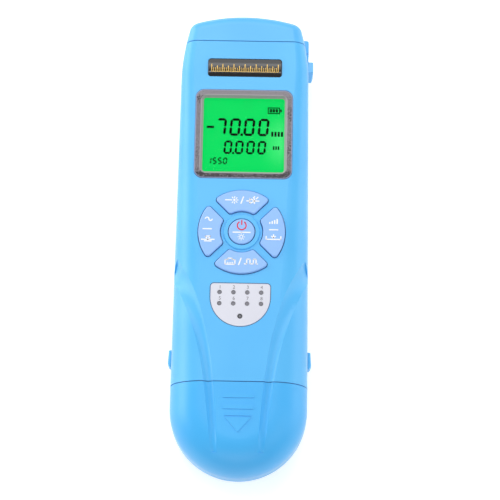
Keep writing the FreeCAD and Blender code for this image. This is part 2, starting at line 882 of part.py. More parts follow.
def display_frame():
    """Grey frame: a flat rim with a bevel down to the window."""
    top = thickness + frame_proud
    outline = rectangle(0, display_y, frame_width - 2 * fixed_clearance, frame_height - 2 * fixed_clearance,
                        frame_corner)
    rim = top_filleted(prism(outline, frame_floor, top), frame_edge)
    low_wire = rounded_wire(rectangle(0, display_y, view_width, view_height, view_corner),
                            lambda u, v: Vector(u, v, frame_floor))
    high_wire = rounded_wire(rectangle(0, display_y, view_width + 2 * frame_bevel,
                                       view_height + 2 * frame_bevel, view_corner + frame_bevel),
                             lambda u, v: Vector(u, v, top))
    return rim.cut(Part.makeLoft([low_wire, high_wire], True, True))


def display_window():
    """Clear window bonded under the frame."""
    margin = 2 * (lip_overlap + fixed_clearance)
    return prism(rectangle(0, display_y, frame_width - margin, frame_height - margin,
                           frame_corner - lip_overlap), window_floor, frame_floor)


def lcd_glass():
    """Liquid crystal cell under the window."""
    return prism(rectangle(0, display_y, view_width + 2 * glass_margin, view_height + 2 * glass_margin),
                 glass_bottom, glass_top)


def backlight():
    """Light guide between the board and the glass."""
    height = view_height + 2 * backlight_margin
    return prism(rectangle(0, display_y, view_width + 2 * backlight_margin, height, 0.5),
                 board_top, glass_bottom)


def contact_strip():
    """Elastic strip that joins the glass to the board, below the backlight."""
    y_high = display_y - view_height / 2 - backlight_margin - moving_clearance
    y_low = max(y_high - strip_width, display_y - view_height / 2 - glass_margin)
    return block(-view_width / 2, view_width / 2, y_low, y_high, board_top, glass_bottom)


def segment(x0, y0, x1, y1, stroke, low):
    """One bar of a numeral, pointed at both ends."""
    along = Vector(x1 - x0, y1 - y0, 0)
    along.normalize()
    across = Vector(-along.y, along.x, 0) * (stroke / 2)
    start = Vector(x0, y0, low) + along * segment_gap
    end = Vector(x1, y1, low) - along * segment_gap
    shoulder = along * (stroke / 2)
    points = [start, start + shoulder + across, end - shoulder + across, end,
              end - shoulder - across, start + shoulder - across, start]
    return Part.Face(Part.makePolygon(points)).extrude(Vector(0, 0, segment_thickness))


def numeral(character, x, y, size):
    """Bars of one numeral whose lower left corner is at (x, y)."""
    width, height, stroke = size
    inner = stroke / 2
    left, right = inner, width - inner
    rows = (inner, height / 2, height - inner)
    ends = {
        "a": ((left, rows[2]), (right, rows[2])), "g": ((left, rows[1]), (right, rows[1])),
        "d": ((left, rows[0]), (right, rows[0])), "f": ((left, rows[1]), (left, rows[2])),
        "b": ((right, rows[1]), (right, rows[2])), "e": ((left, rows[0]), (left, rows[1])),
        "c": ((right, rows[0]), (right, rows[1])),
    }
    bars = []
    for name in lit_segments[character]:
        (x0, y0), (x1, y1) = ends[name]
        bars.append(segment(x + x0 + y0 * digit_lean, y + y0, x + x1 + y1 * digit_lean, y + y1,
                            stroke, glass_top))
    return bars


def row_of_numerals(text, right_x, y, size, pitch):
    """A reading that ends at right_x; a point stands in the gap before the next numeral."""
    bars = []
    x = right_x - size[0]
    for character in reversed(text):
        if character == ".":
            dot = size[2]
            point_x = x + pitch - dot - segment_gap
            bars.append(block(point_x, point_x + dot, y, y + dot, glass_top, glass_top + segment_thickness))
            continue
        bars += numeral(character, x, y, size)
        x -= pitch
    return bars


def display_bar(x, y, width, height):
    """Flat dark mark on the glass; y counts from the display's middle."""
    return prism(rectangle(x, display_y + y, width, height), glass_top, glass_top + segment_thickness)


def lcd_segments():
    """Everything dark on the display: three readings, a battery and plain unit marks."""
    marks = []
    for text, right_x, rise, size, pitch in readings:
        marks += row_of_numerals(text, right_x, display_y + rise, size, pitch)
    x, y, width, height = battery_mark
    case = display_bar(x, y, width, height)
    marks.append(case.cut(prism(rectangle(x, display_y + y, width - 2 * battery_outline,
                                          height - 2 * battery_outline), glass_bottom, thickness)))
    marks += [display_bar(*minus_mark), display_bar(*battery_nub)]
    for x, y, width, height, count, pitch in bar_rows:
        marks += [display_bar(x + pitch * step, y, width, height) for step in range(count)]
    return Part.makeCompound(marks)


def name_plate():
    """Domed resin plate above the display; it carries no words."""
    floor = thickness - name_plate_depth
    outline = rectangle(0, name_plate_y, name_plate_width - 2 * fixed_clearance,
                        name_plate_height - 2 * fixed_clearance, name_plate_corner)
    plate = prism(outline, floor, thickness + name_plate_crown)
    half = name_plate_height / 2
    radius = (half ** 2 + name_plate_crown ** 2) / (2 * name_plate_crown)
    crown = Part.makeCylinder(radius, name_plate_width, Vector(
        -name_plate_width / 2, name_plate_y, thickness + name_plate_crown - radius), Vector(1, 0, 0))
    plate = plate.common(crown)
    return filleted(plate, name_plate_edge, lambda box: box.ZMin > thickness - fixed_clearance
                    and box.ZLength > box.XLength)


def power_key():
    """Round key in the middle of the keypad."""
    cap = upright(0, keypad_y, power_key_radius, flange_bottom, thickness + key_proud)
    flange = upright(0, keypad_y, power_key_radius + key_flange, flange_bottom, flange_top)
    return top_filleted(cap, key_edge).fuse(flange)


def sector_key(angle, room):
    """Key of the ring, turned from the top place; its flange keeps inside the housing's room."""
    cap = top_filleted(sector(0, flange_bottom, thickness + key_proud), key_edge)
    flange = sector(key_flange, flange_bottom, flange_top)
    return turned_about_keypad(cap, angle).fuse(turned_about_keypad(flange, angle).common(room))


def keypad_mat():
    """Silicone mat on the board, with a dome under each key."""
    mat_top = board_top + mat_thickness
    mat = upright(0, keypad_y, mat_radius, board_top, mat_top)
    reach = (sector_inner + sector_outer) / 2
    places = [(0, 0), (0, reach), (-reach, 0), (0, -reach), (reach, 0)]
    domes = [Part.makeCone(dome_base_radius, dome_top_radius, dome_top - mat_top,
                           Vector(x, keypad_y + y, mat_top)) for x, y in places]
    return mat.multiFuse(domes)


def indicator_plate():
    """White plate with nine holes for the lights."""
    plate = indicator_outline(fixed_clearance / 2, thickness - indicator_thickness, thickness)
    holes = [upright(x, y, light_radius, inner_front, thickness + 1) for x, y in light_places()]
    holes.append(upright(0, indicator_top_y - link_light_row, link_light_radius, inner_front, thickness + 1))
    return plate.cut(holes)


def light_pipe(x, y, radius):
    """Clear rod that brings a light up to the plate."""
    foot = board_top + light_body[2] + fixed_clearance
    rod = upright(x, y, radius - screw_clearance, foot, thickness - fixed_clearance)
    return rod.fuse(upright(x, y, radius + light_pipe_collar, foot, inner_front - fixed_clearance))


def board_light(x, y):
    """Small lamp on the board, under its light pipe."""
    return block(x - light_body[0] / 2, x + light_body[0] / 2, y - light_body[1] / 2,
                 y + light_body[1] / 2, board_top, board_top + light_body[2])


# Board and what it carries

def main_board():
    """Circuit board behind the front shell."""
    middle = (board_foot_y + board_head_y) / 2
    board = prism(rectangle(0, middle, board_width, board_head_y - board_foot_y, board_corner),
                  board_bottom, board_top)
    holes = [upright(x, y, board_screw_radius + fixed_clearance, board_bottom - 1, board_top + 1)
             for x, y in board_screw_places()]
    return board.cut(holes)


def pan_screw(x, y, under_head, radius, length, head_radius, head_height):
    """Screw that points up, with its head below under_head."""
    shank = upright(x, y, radius, under_head - head_height / 2, under_head + length)
    head = upright(x, y, head_radius, under_head - head_height, under_head)
    slot = block(x - head_radius, x + head_radius, y - screw_slot_width / 2, y + screw_slot_width / 2,
                 under_head - head_height, under_head - head_height / 2)
    return head.fuse(shank).cut(slot)


def board_screws():
    """Four screws from behind the board into the front shell's posts."""
    return Part.makeCompound([
        pan_screw(x, y, board_bottom, board_screw_radius, board_screw_length, pan_head_radius,
                  pan_head_height) for x, y in board_screw_places()])


def case_screws():
    """Four screws from the back, at the bottom of their wells."""
    return Part.makeCompound([
        pan_screw(x, y, counterbore_depth, case_screw_radius, case_screw_length, case_head_radius,
                  case_head_height) for x, y in case_screw_places()])


def chip(x, y, size):
    """Flat chip under the board, with a row of legs on two sides."""
    width, length, height = size
    body = block(x - width / 2, x + width / 2, y - length / 2, y + length / 2,
                 board_bottom - height, board_bottom - chip_gap)
    half_row = length / 2 - chip_leg_margin
    half_reach = width / 2 + chip_leg_reach
    legs = block(x - half_reach, x + half_reach, y - half_row, y + half_row,
                 board_bottom - chip_leg_thickness, board_bottom)
    return body.fuse(legs)


def crystal():
    """Crystal can under the board."""
    width, length, height = crystal_size
    outline = rectangle(crystal_x, keypad_y + crystal_above_keypad, width, length,
                        length / 2 - fixed_clearance)
    return prism(outline, board_bottom - height, board_bottom)


def buzzer():
    """Round buzzer under the board, with its sound hole."""
    low = board_bottom - buzzer_height
    y = display_y + buzzer_above_display
    can = upright(buzzer_x, y, buzzer_radius, low, board_bottom)
    return can.cut(upright(buzzer_x, y, buzzer_sound_hole, low, low + buzzer_sound_depth))


# Ports at the head

def port_panel():
    """Panel that closes the head end, with a hole for each port."""
    panel = short_stretch(wall + fixed_clearance, panel_rear_y, panel_front_y)
    low, high = panel_rear_y - 1, panel_front_y + 1
    jack_hole = rectangle(jack_x, board_bottom - jack_size[2] / 2, jack_size[0] + 2 * fixed_clearance,
                          jack_size[2] + 2 * fixed_clearance)
    round_holes = [(fibre_x, fibre_z, fibre_thread_radius), (locator_x, locator_z, locator_radius),
                   (torch_x, torch_z, torch_radius)]
    cuts = [bar_along_y(jack_hole, low, high)]
    cuts += [turned([(0, low), (radius + fixed_clearance, low), (radius + fixed_clearance, high), (0, high)],
                    x, z) for x, z, radius in round_holes]
    return panel.cut(cuts)


def jack_front_y():
    """Front face of the network socket."""
    return panel_front_y + jack_proud


def socket_floor():
    """Lower side of the network socket's opening."""
    return board_bottom - jack_size[2] + socket_sill


def network_jack():
    """Eight-way network socket, open at the head, with the slot for the plug's latch on top."""
    front = jack_front_y()
    body = block(jack_x - jack_size[0] / 2, jack_x + jack_size[0] / 2, front - jack_size[1], front,
                 board_bottom - jack_size[2], board_bottom)
    floor = socket_floor()
    mouth = block(jack_x - socket_width / 2, jack_x + socket_width / 2, front - socket_depth, front + 1,
                  floor, floor + socket_height)
    slot_width, slot_height = latch_slot
    slot = block(jack_x - slot_width / 2, jack_x + slot_width / 2, front - socket_depth + latch_slot_stop,
                 front + 1, floor, floor + socket_height + slot_height)
    return body.cut([mouth, slot])


def jack_contacts():
    """Eight sprung wires that slope up from the socket's floor."""
    front = jack_front_y() - contact_setback
    back = jack_front_y() - socket_depth
    floor = socket_floor()
    wires = []
    for index in range(contact_count):
        x = jack_x + (index - (contact_count - 1) / 2) * contact_pitch
        corners = [
            (front, floor, 0), (back, floor + contact_rise, 0),
            (back, floor + contact_rise + contact_thickness, 0), (front, floor + contact_thickness, 0),
        ]
        wires.append(bar_along_x(corners, x - contact_width / 2, x + contact_width / 2))
    return Part.makeCompound(wires)


def fibre_tip_y():
    """Front end of the fibre adapter."""
    return panel_front_y + fibre_flange_thickness + fibre_thread_length


def fibre_tail_y():
    """Inner end of the fibre adapter."""
    return panel_rear_y - fibre_tail_length


def fibre_adapter():
    """Screw-on ferrule adapter: barrel for the connector's nut, key slot, flange and tail."""
    flange_front = panel_front_y + fibre_flange_thickness
    tip = fibre_tip_y()
    tail = fibre_tail_y()
    radius = fibre_thread_radius
    seat = ferrule_sleeve_radius + sleeve_clearance
    profile = [(0, tail), (radius, tail), (radius, panel_front_y), (fibre_flange_radius, panel_front_y),
               (fibre_flange_radius, flange_front), (radius, flange_front), (radius, tip - port_chamfer),
               (radius - port_chamfer, tip), (fibre_recess_radius, tip), (fibre_recess_radius, flange_front),
               (seat, flange_front), (seat, tail + adapter_floor), (0, tail + adapter_floor)]
    body = turned(profile, fibre_x, fibre_z)
    slot = block(fibre_x - key_slot_width / 2, fibre_x + key_slot_width / 2, tip - key_slot_length, tip,
                 fibre_z + seat, fibre_z + radius)
    return body.cut(slot)


def alignment_sleeve():
    """Ceramic sleeve in the adapter, bored for the connector's ferrule."""
    low, high = fibre_tail_y() + adapter_floor, fibre_tip_y() - sleeve_setback
    profile = [(ferrule_bore_radius, low), (ferrule_sleeve_radius, low), (ferrule_sleeve_radius, high),
               (ferrule_bore_radius, high)]
    return turned(profile, fibre_x, fibre_z)


def fibre_nut():
    """Hexagon nut that clamps the adapter behind the panel."""
    corners = []
    for index in range(6):
        angle = math.radians(60 * index + 30)
        reach = fibre_nut_width / math.sqrt(3)
        corners.append((fibre_x + reach * math.cos(angle), fibre_z + reach * math.sin(angle), 0))
    nut = bar_along_y(corners, panel_rear_y - fibre_nut_thickness, panel_rear_y)
    radius = fibre_thread_radius + screw_clearance
    low, high = panel_rear_y - fibre_nut_thickness - 1, panel_rear_y + 1
    return nut.cut(turned([(0, low), (radius, low), (radius, high), (0, high)], fibre_x, fibre_z))


def bent_leads(x, z, end, back):
    """Two wires that run back from a lamp or detector and bend up to the board."""
    half = lead_width / 2
    leads = []
    for side in (-1, 1):
        lead_x = x + side * lead_spread
        leads.append(block(lead_x - half, lead_x + half, end, back, z - half, z + half))
        leads.append(block(lead_x - half, lead_x + half, end, end + lead_width, z - half, board_bottom))
    return leads


def photodiode():
    """Detector can on the adapter's tail, with its leads bent up to the board."""
    high = fibre_tail_y()
    low = high - diode_length
    neck = diode_radius - diode_step
    can = turned([(0, low), (diode_radius, low), (diode_radius, high - diode_rim), (neck, high - diode_rim),
                  (neck, high), (0, high)], fibre_x, fibre_z)
    return can.multiFuse(bent_leads(fibre_x, fibre_z, low - lead_length, low))


def locator_port():
    """Fault locator outlet: a flanged tube with a ferrule bore."""
    flange_front = panel_front_y + locator_flange_thickness
    tip = panel_front_y + locator_length
    tail = panel_rear_y - locator_tail_length
    floor = panel_rear_y
    profile = [(0, tail), (locator_radius, tail), (locator_radius, panel_front_y),
               (locator_flange_radius, panel_front_y), (locator_flange_radius, flange_front),
               (locator_radius, flange_front), (locator_radius, tip - port_chamfer),
               (locator_radius - port_chamfer, tip), (ferrule_bore_radius + port_chamfer, tip),
               (ferrule_bore_radius, tip - port_chamfer), (ferrule_bore_radius, floor), (0, floor)]
    return turned(profile, locator_x, locator_z)


def laser_module():
    """Brass laser barrel behind the fault locator port, with a pin up to the board."""
    high = panel_rear_y - locator_tail_length
    low = high - laser_length
    neck = laser_radius - laser_step
    neck_end = low + laser_neck_length
    barrel = turned([(0, low), (neck, low), (neck, neck_end), (laser_radius, neck_end),
                     (laser_radius, high), (0, high)], locator_x, locator_z)
    pin = block(locator_x - laser_pin_width / 2, locator_x + laser_pin_width / 2,
                low + laser_pin_width, low + 2 * laser_pin_width, locator_z, board_bottom)
    return barrel.fuse(pin)


def torch_led():
    """Torch lamp with its rim behind the panel and long leads up to the board."""
    tip = panel_front_y + torch_proud
    back = panel_rear_y - torch_rim_thickness
    dome_start = tip - torch_radius
    rim = torch_radius + torch_rim
    straight = turned([(0, back), (rim, back), (rim, panel_rear_y), (torch_radius, panel_rear_y),
                       (torch_radius, dome_start), (0, dome_start)], torch_x, torch_z)
    dome = Part.makeSphere(torch_radius, Vector(torch_x, dome_start, torch_z))
    end = panel_rear_y - locator_tail_length - laser_length - lead_length
    return straight.multiFuse([dome] + bent_leads(torch_x, torch_z, end, back))


# Battery

def cell_places():
    """Places of the cells across the sleeve."""
    pitch = cell_pitch + sleeve_web
    return [(index - (cell_count - 1) / 2) * pitch for index in range(cell_count)]


def battery_sleeve():
    """Sleeve with a bore for each cell, open at the foot."""
    corners = rectangle(0, cell_z, 2 * sleeve_half_width, sleeve_top - sleeve_bottom, sleeve_corner)
    sleeve = bar_along_y(corners, sleeve_foot_y, sleeve_head_y)
    radius = cell_diameter / 2 + cell_clearance
    low, high = sleeve_foot_y - 1, sleeve_head_y + 1
    bores = [turned([(0, low), (radius, low), (radius, high), (0, high)], x, cell_z)
             for x in cell_places()]
    return sleeve.cut(bores)


def cell(x, nub_at_head):
    """One AAA cell with its terminal nub."""
    radius = cell_diameter / 2
    body_length = cell_length - cell_nub_length
    profile = [(0, 0), (radius - cell_edge, 0), (radius, cell_edge), (radius, body_length - cell_edge),
               (radius - cell_edge, body_length), (cell_nub_radius, body_length),
               (cell_nub_radius, cell_length), (0, cell_length)]
    if nub_at_head:
        places = [(r, cell_foot_y + y) for r, y in profile]
    else:
        places = [(r, cell_head_y - y) for r, y in reversed(profile)]
    return turned(places, x, cell_z)


def contact_board():
    """Small board across the sleeve's inner end, soldered up to the main board."""
    return block(-sleeve_half_width, sleeve_half_width, sleeve_head_y,
                 sleeve_head_y + contact_board_thickness, sleeve_bottom, board_bottom)


def contact_buttons():
    """Three contact buttons that the cells' inner ends touch."""
    face_y = cell_head_y + screw_clearance
    profile = [(0, face_y), (contact_button_radius - button_bevel, face_y),
               (contact_button_radius, face_y + button_bevel), (contact_button_radius, sleeve_head_y),
               (0, sleeve_head_y)]
    return Part.makeCompound([turned(profile, x, cell_z) for x in cell_places()])


def contact_carrier():
    """Plate in the foot cover that carries the leaf contacts."""
    low = carrier_y()
    return bar_along_y(rectangle(0, cell_z, carrier_width, carrier_height, carrier_corner),
                       low, low + carrier_thickness)


def bowed_leaf(start, peak, end, thickness_vector, width_vector):
    """Strip bowed along an arc through three points, with the given thickness and width."""
    outer = Part.Arc(start, peak, end).toShape()
    inner = Part.Arc(end - thickness_vector, peak - thickness_vector, start - thickness_vector).toShape()
    edges = [outer, Part.makeLine(end, end - thickness_vector), inner,
             Part.makeLine(start - thickness_vector, start)]
    return Part.Face(Part.Wire(edges)).extrude(width_vector)


def leaf_contacts():
    """Three bowed leaves that press on the cells' outer ends."""
    floor = carrier_y() + carrier_thickness + leaf_thickness
    peak = cell_foot_y - moving_clearance
    half = cell_diameter / 2 - leaf_end_margin
    leaves = []
    for x in cell_places():
        low = cell_z - leaf_width / 2
        leaves.append(bowed_leaf(Vector(x - half, floor, low), Vector(x, peak, low),
                                 Vector(x + half, floor, low), Vector(0, leaf_thickness, 0),
                                 Vector(0, 0, leaf_width)))
    return Part.makeCompound(leaves)


# Squeeze latches

def latch():
    """Right-hand latch: pad on the flank, flange inside, arm and nose down in the foot neck."""
    side = half_width(latch_y)
    y_low, y_high = latch_y - latch_length / 2, latch_y + latch_length / 2
    flange_outer = side - wall - latch_flange_gap
    flange_inner = flange_outer - latch_flange_thickness
    outer = side + latch_proud
    corners = [
        (flange_inner, y_low, 0), (outer + latch_slant, y_low, latch_end_radius),
        (outer, y_high, latch_top_radius), (flange_inner, y_high, 0),
    ]
    pad = prism(corners, latch_z - latch_height / 2, latch_z + latch_height / 2)
    pad = filleted(pad, latch_pad_edge, lambda box: box.YLength < 0.01 and box.ZLength < 0.01)
    flange = latch_hole(moving_clearance + latch_lip, flange_inner, flange_outer)
    arm_outer = foot_width / 2 - collar_inset - collar_wall - moving_clearance
    arm_inner = arm_outer - latch_arm_thickness
    nose_low, nose_high = latch_nose_span()
    z_low, z_high = latch_z - latch_arm_height / 2, latch_z + latch_arm_height / 2
    arm = block(arm_inner, arm_outer, nose_low, latch_y, z_low, z_high)
    bridge = block(arm_inner, flange_outer, latch_y - latch_length / 2, latch_y, z_low, z_high)
    nose = block(arm_inner, foot_width / 2 - wall - moving_clearance, nose_low, nose_high, z_low, z_high)
    return pad.multiFuse([flange, arm, bridge, nose])


def latch_spring():
    """Bowed leaf between the battery sleeve and the right-hand latch."""
    seat = sleeve_half_width + fixed_clearance
    arm_inner = foot_width / 2 - collar_inset - collar_wall - moving_clearance - latch_arm_thickness
    peak_x = arm_inner - moving_clearance
    low = latch_z - spring_leaf_width / 2
    half = spring_leaf_length / 2
    thick = Vector(spring_leaf_thickness, 0, 0)
    return bowed_leaf(Vector(seat, latch_y - half, low) + thick, Vector(peak_x, latch_y, low),
                      Vector(seat, latch_y + half, low) + thick, thick, Vector(0, 0, spring_leaf_width))


# All pieces, each written to its own file

def build():
    """Every named piece of the meter."""
    hollow = body_form(0).cut(body_form(wall))
    core = body_form(wall / 2)
    both = housing(hollow)
    right_latch = latch()
    right_spring = latch_spring()
    room = short_stretch(wall + moving_clearance, keypad_y - mat_radius, keypad_y + mat_radius)
    pieces = {
        "front_shell": front_shell(both, core),
        "rear_shell": rear_shell(both, core),
        "foot_cover": foot_cover(),
        "dust_cover": dust_cover(hollow, core),
        "strap_anchor": strap_anchor(),
        "hinge_strip": hinge_strip(),
        "display_frame": display_frame(),
        "display_window": display_window(),
        "lcd_glass": lcd_glass(),
        "lcd_segments": lcd_segments(),
        "backlight": backlight(),
        "contact_strip": contact_strip(),
        "name_plate": name_plate(),
        "power_key": power_key(),
        "top_key": sector_key(0, room),
        "left_key": sector_key(90, room),
        "bottom_key": sector_key(180, room),
        "right_key": sector_key(270, room),
        "keypad_mat": keypad_mat(),
        "indicator_plate": indicator_plate(),
        "wire_light_pipes": Part.makeCompound([light_pipe(x, y, light_radius) for x, y in light_places()]),
        "link_light_pipe": light_pipe(0, indicator_top_y - link_light_row, link_light_radius),
        "wire_lights": Part.makeCompound([board_light(x, y) for x, y in light_places()]),
        "link_light": board_light(0, indicator_top_y - link_light_row),
        "main_board": main_board(),
        "board_screws": board_screws(),
        "case_screws": case_screws(),
        "processor_chip": chip(processor_x, display_y - processor_below_display, processor_size),
        "signal_chip": chip(signal_chip_x, keypad_y, signal_chip_size),
        "crystal": crystal(),
        "buzzer": buzzer(),
        "port_panel": port_panel(),
        "network_jack": network_jack(),
        "jack_contacts": jack_contacts(),
        "fibre_adapter": fibre_adapter(),
        "alignment_sleeve": alignment_sleeve(),
        "fibre_nut": fibre_nut(),
        "photodiode": photodiode(),
        "locator_port": locator_port(),
        "laser_module": laser_module(),
        "torch_led": torch_led(),
        "battery_sleeve": battery_sleeve(),
        "contact_board": contact_board(),
        "contact_buttons": contact_buttons(),
        "contact_carrier": contact_carrier(),
        "leaf_contacts": leaf_contacts(),
        "latch_right": right_latch,
        "latch_left": mirrored(right_latch),
        "latch_spring_right": right_spring,
        "latch_spring_left": mirrored(right_spring),
    }
    for index, x in enumerate(cell_places()):
        pieces["cell_" + str(index + 1)] = cell(x, index % 2 == 0)
    return pieces


os.makedirs("parts", exist_ok=True)
for node, shape in build().items():
    shape.exportStep("parts/" + node + ".step")
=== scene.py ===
"""Looks of a hand-held optical power meter: finishes, signs, springs, hinge, thread and studio."""

import json
import logging
import math
from dataclasses import dataclass
from enum import Enum
from typing import Any, Callable

import bpy
from mathutils import Matrix, Vector

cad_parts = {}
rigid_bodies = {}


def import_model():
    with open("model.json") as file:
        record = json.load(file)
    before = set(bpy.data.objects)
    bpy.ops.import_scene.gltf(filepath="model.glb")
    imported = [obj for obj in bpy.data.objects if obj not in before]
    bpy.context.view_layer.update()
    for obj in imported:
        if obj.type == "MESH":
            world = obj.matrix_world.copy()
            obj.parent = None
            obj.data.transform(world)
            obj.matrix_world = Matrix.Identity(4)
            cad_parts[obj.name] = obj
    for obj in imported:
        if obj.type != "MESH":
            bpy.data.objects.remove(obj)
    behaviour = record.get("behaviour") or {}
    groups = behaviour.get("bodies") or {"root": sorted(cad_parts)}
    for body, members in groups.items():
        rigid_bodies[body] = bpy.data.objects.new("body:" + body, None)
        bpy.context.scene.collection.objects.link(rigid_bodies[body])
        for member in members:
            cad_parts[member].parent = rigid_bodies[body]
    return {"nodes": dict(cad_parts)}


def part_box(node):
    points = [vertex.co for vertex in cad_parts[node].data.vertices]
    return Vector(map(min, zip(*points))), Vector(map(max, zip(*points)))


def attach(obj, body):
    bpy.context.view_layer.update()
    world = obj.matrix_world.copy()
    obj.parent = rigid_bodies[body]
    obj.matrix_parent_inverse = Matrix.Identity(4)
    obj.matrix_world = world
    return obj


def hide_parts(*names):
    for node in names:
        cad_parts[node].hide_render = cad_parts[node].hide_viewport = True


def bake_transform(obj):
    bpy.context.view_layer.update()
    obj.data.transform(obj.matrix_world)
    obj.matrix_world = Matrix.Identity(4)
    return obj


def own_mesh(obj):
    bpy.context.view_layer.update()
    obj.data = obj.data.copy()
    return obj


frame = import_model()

MM = 0.001
FULL_TURN = 2 * math.pi
LOG = logging.getLogger("power_meter")

Colour = tuple[float, float, float, float]
Point = tuple[float, float, float]
Spot = tuple[float, float]
Inputs = dict[Any, Any]
Piece = bpy.types.Object
Socket = bpy.types.NodeSocket


def paint(red: int, green: int, blue: int) -> Colour:
    """Linear colour of a paint given in everyday 0 to 255 values.

    Args:
        red: Red share, 0 to 255.
        green: Green share, 0 to 255.
        blue: Blue share, 0 to 255.

    Returns:
        The colour as Blender's shaders take it, with full opacity.
    """

    def linear(value: int) -> float:
        """One channel without its display curve."""
        share = value / 255
        return share / 12.92 if share <= 0.04045 else ((share + 0.055) / 1.055) ** 2.4

    return (linear(red), linear(green), linear(blue), 1.0)


# ---------------------------------------------------------------- shader maths


class Wire:
    """One number socket, with Python's own signs for the sums made on it."""

    def __init__(self, bench: "Bench", socket: Socket) -> None:
        """Keep the socket and the bench that adds its nodes."""
        self.bench = bench
        self.socket = socket

    def __add__(self, other: Any) -> "Wire":
        """Sum."""
        return self.bench.math("ADD", self, other)

    __radd__ = __add__

    def __sub__(self, other: Any) -> "Wire":
        """Difference."""
        return self.bench.math("SUBTRACT", self, other)

    def __rsub__(self, other: Any) -> "Wire":
        """Difference the other way round."""
        return self.bench.math("SUBTRACT", other, self)

    def __mul__(self, other: Any) -> "Wire":
        """Product."""
        return self.bench.math("MULTIPLY", self, other)

    __rmul__ = __mul__

    def __truediv__(self, other: Any) -> "Wire":
        """Quotient."""
        return self.bench.math("DIVIDE", self, other)

    def __pow__(self, other: Any) -> "Wire":
        """Power."""
        return self.bench.math("POWER", self, other)

    def __abs__(self) -> "Wire":
        """Size without its sign."""
        return self.bench.math("ABSOLUTE", self)

    def fade(self, low: float, high: float) -> "Wire":
        """0 below low, 1 above high, and a smooth step between them.

        Args:
            low: Value where the step starts.
            high: Value where the step ends; below low it falls instead.

        Returns:
            The stepped value.
        """
        settings = {"interpolation_type": "SMOOTHSTEP", "clamp": True}
        node = self.bench.node(
            "ShaderNodeMapRange", settings, {"Value": self, "From Min": low, "From Max": high}
        )
        return Wire(self.bench, node.outputs["Result"])

    def wrap(self, pitch: float) -> "Wire":
        """Signed distance to the nearest whole multiple of a pitch."""
        return self.bench.math("WRAP", self, pitch / 2, -pitch / 2)


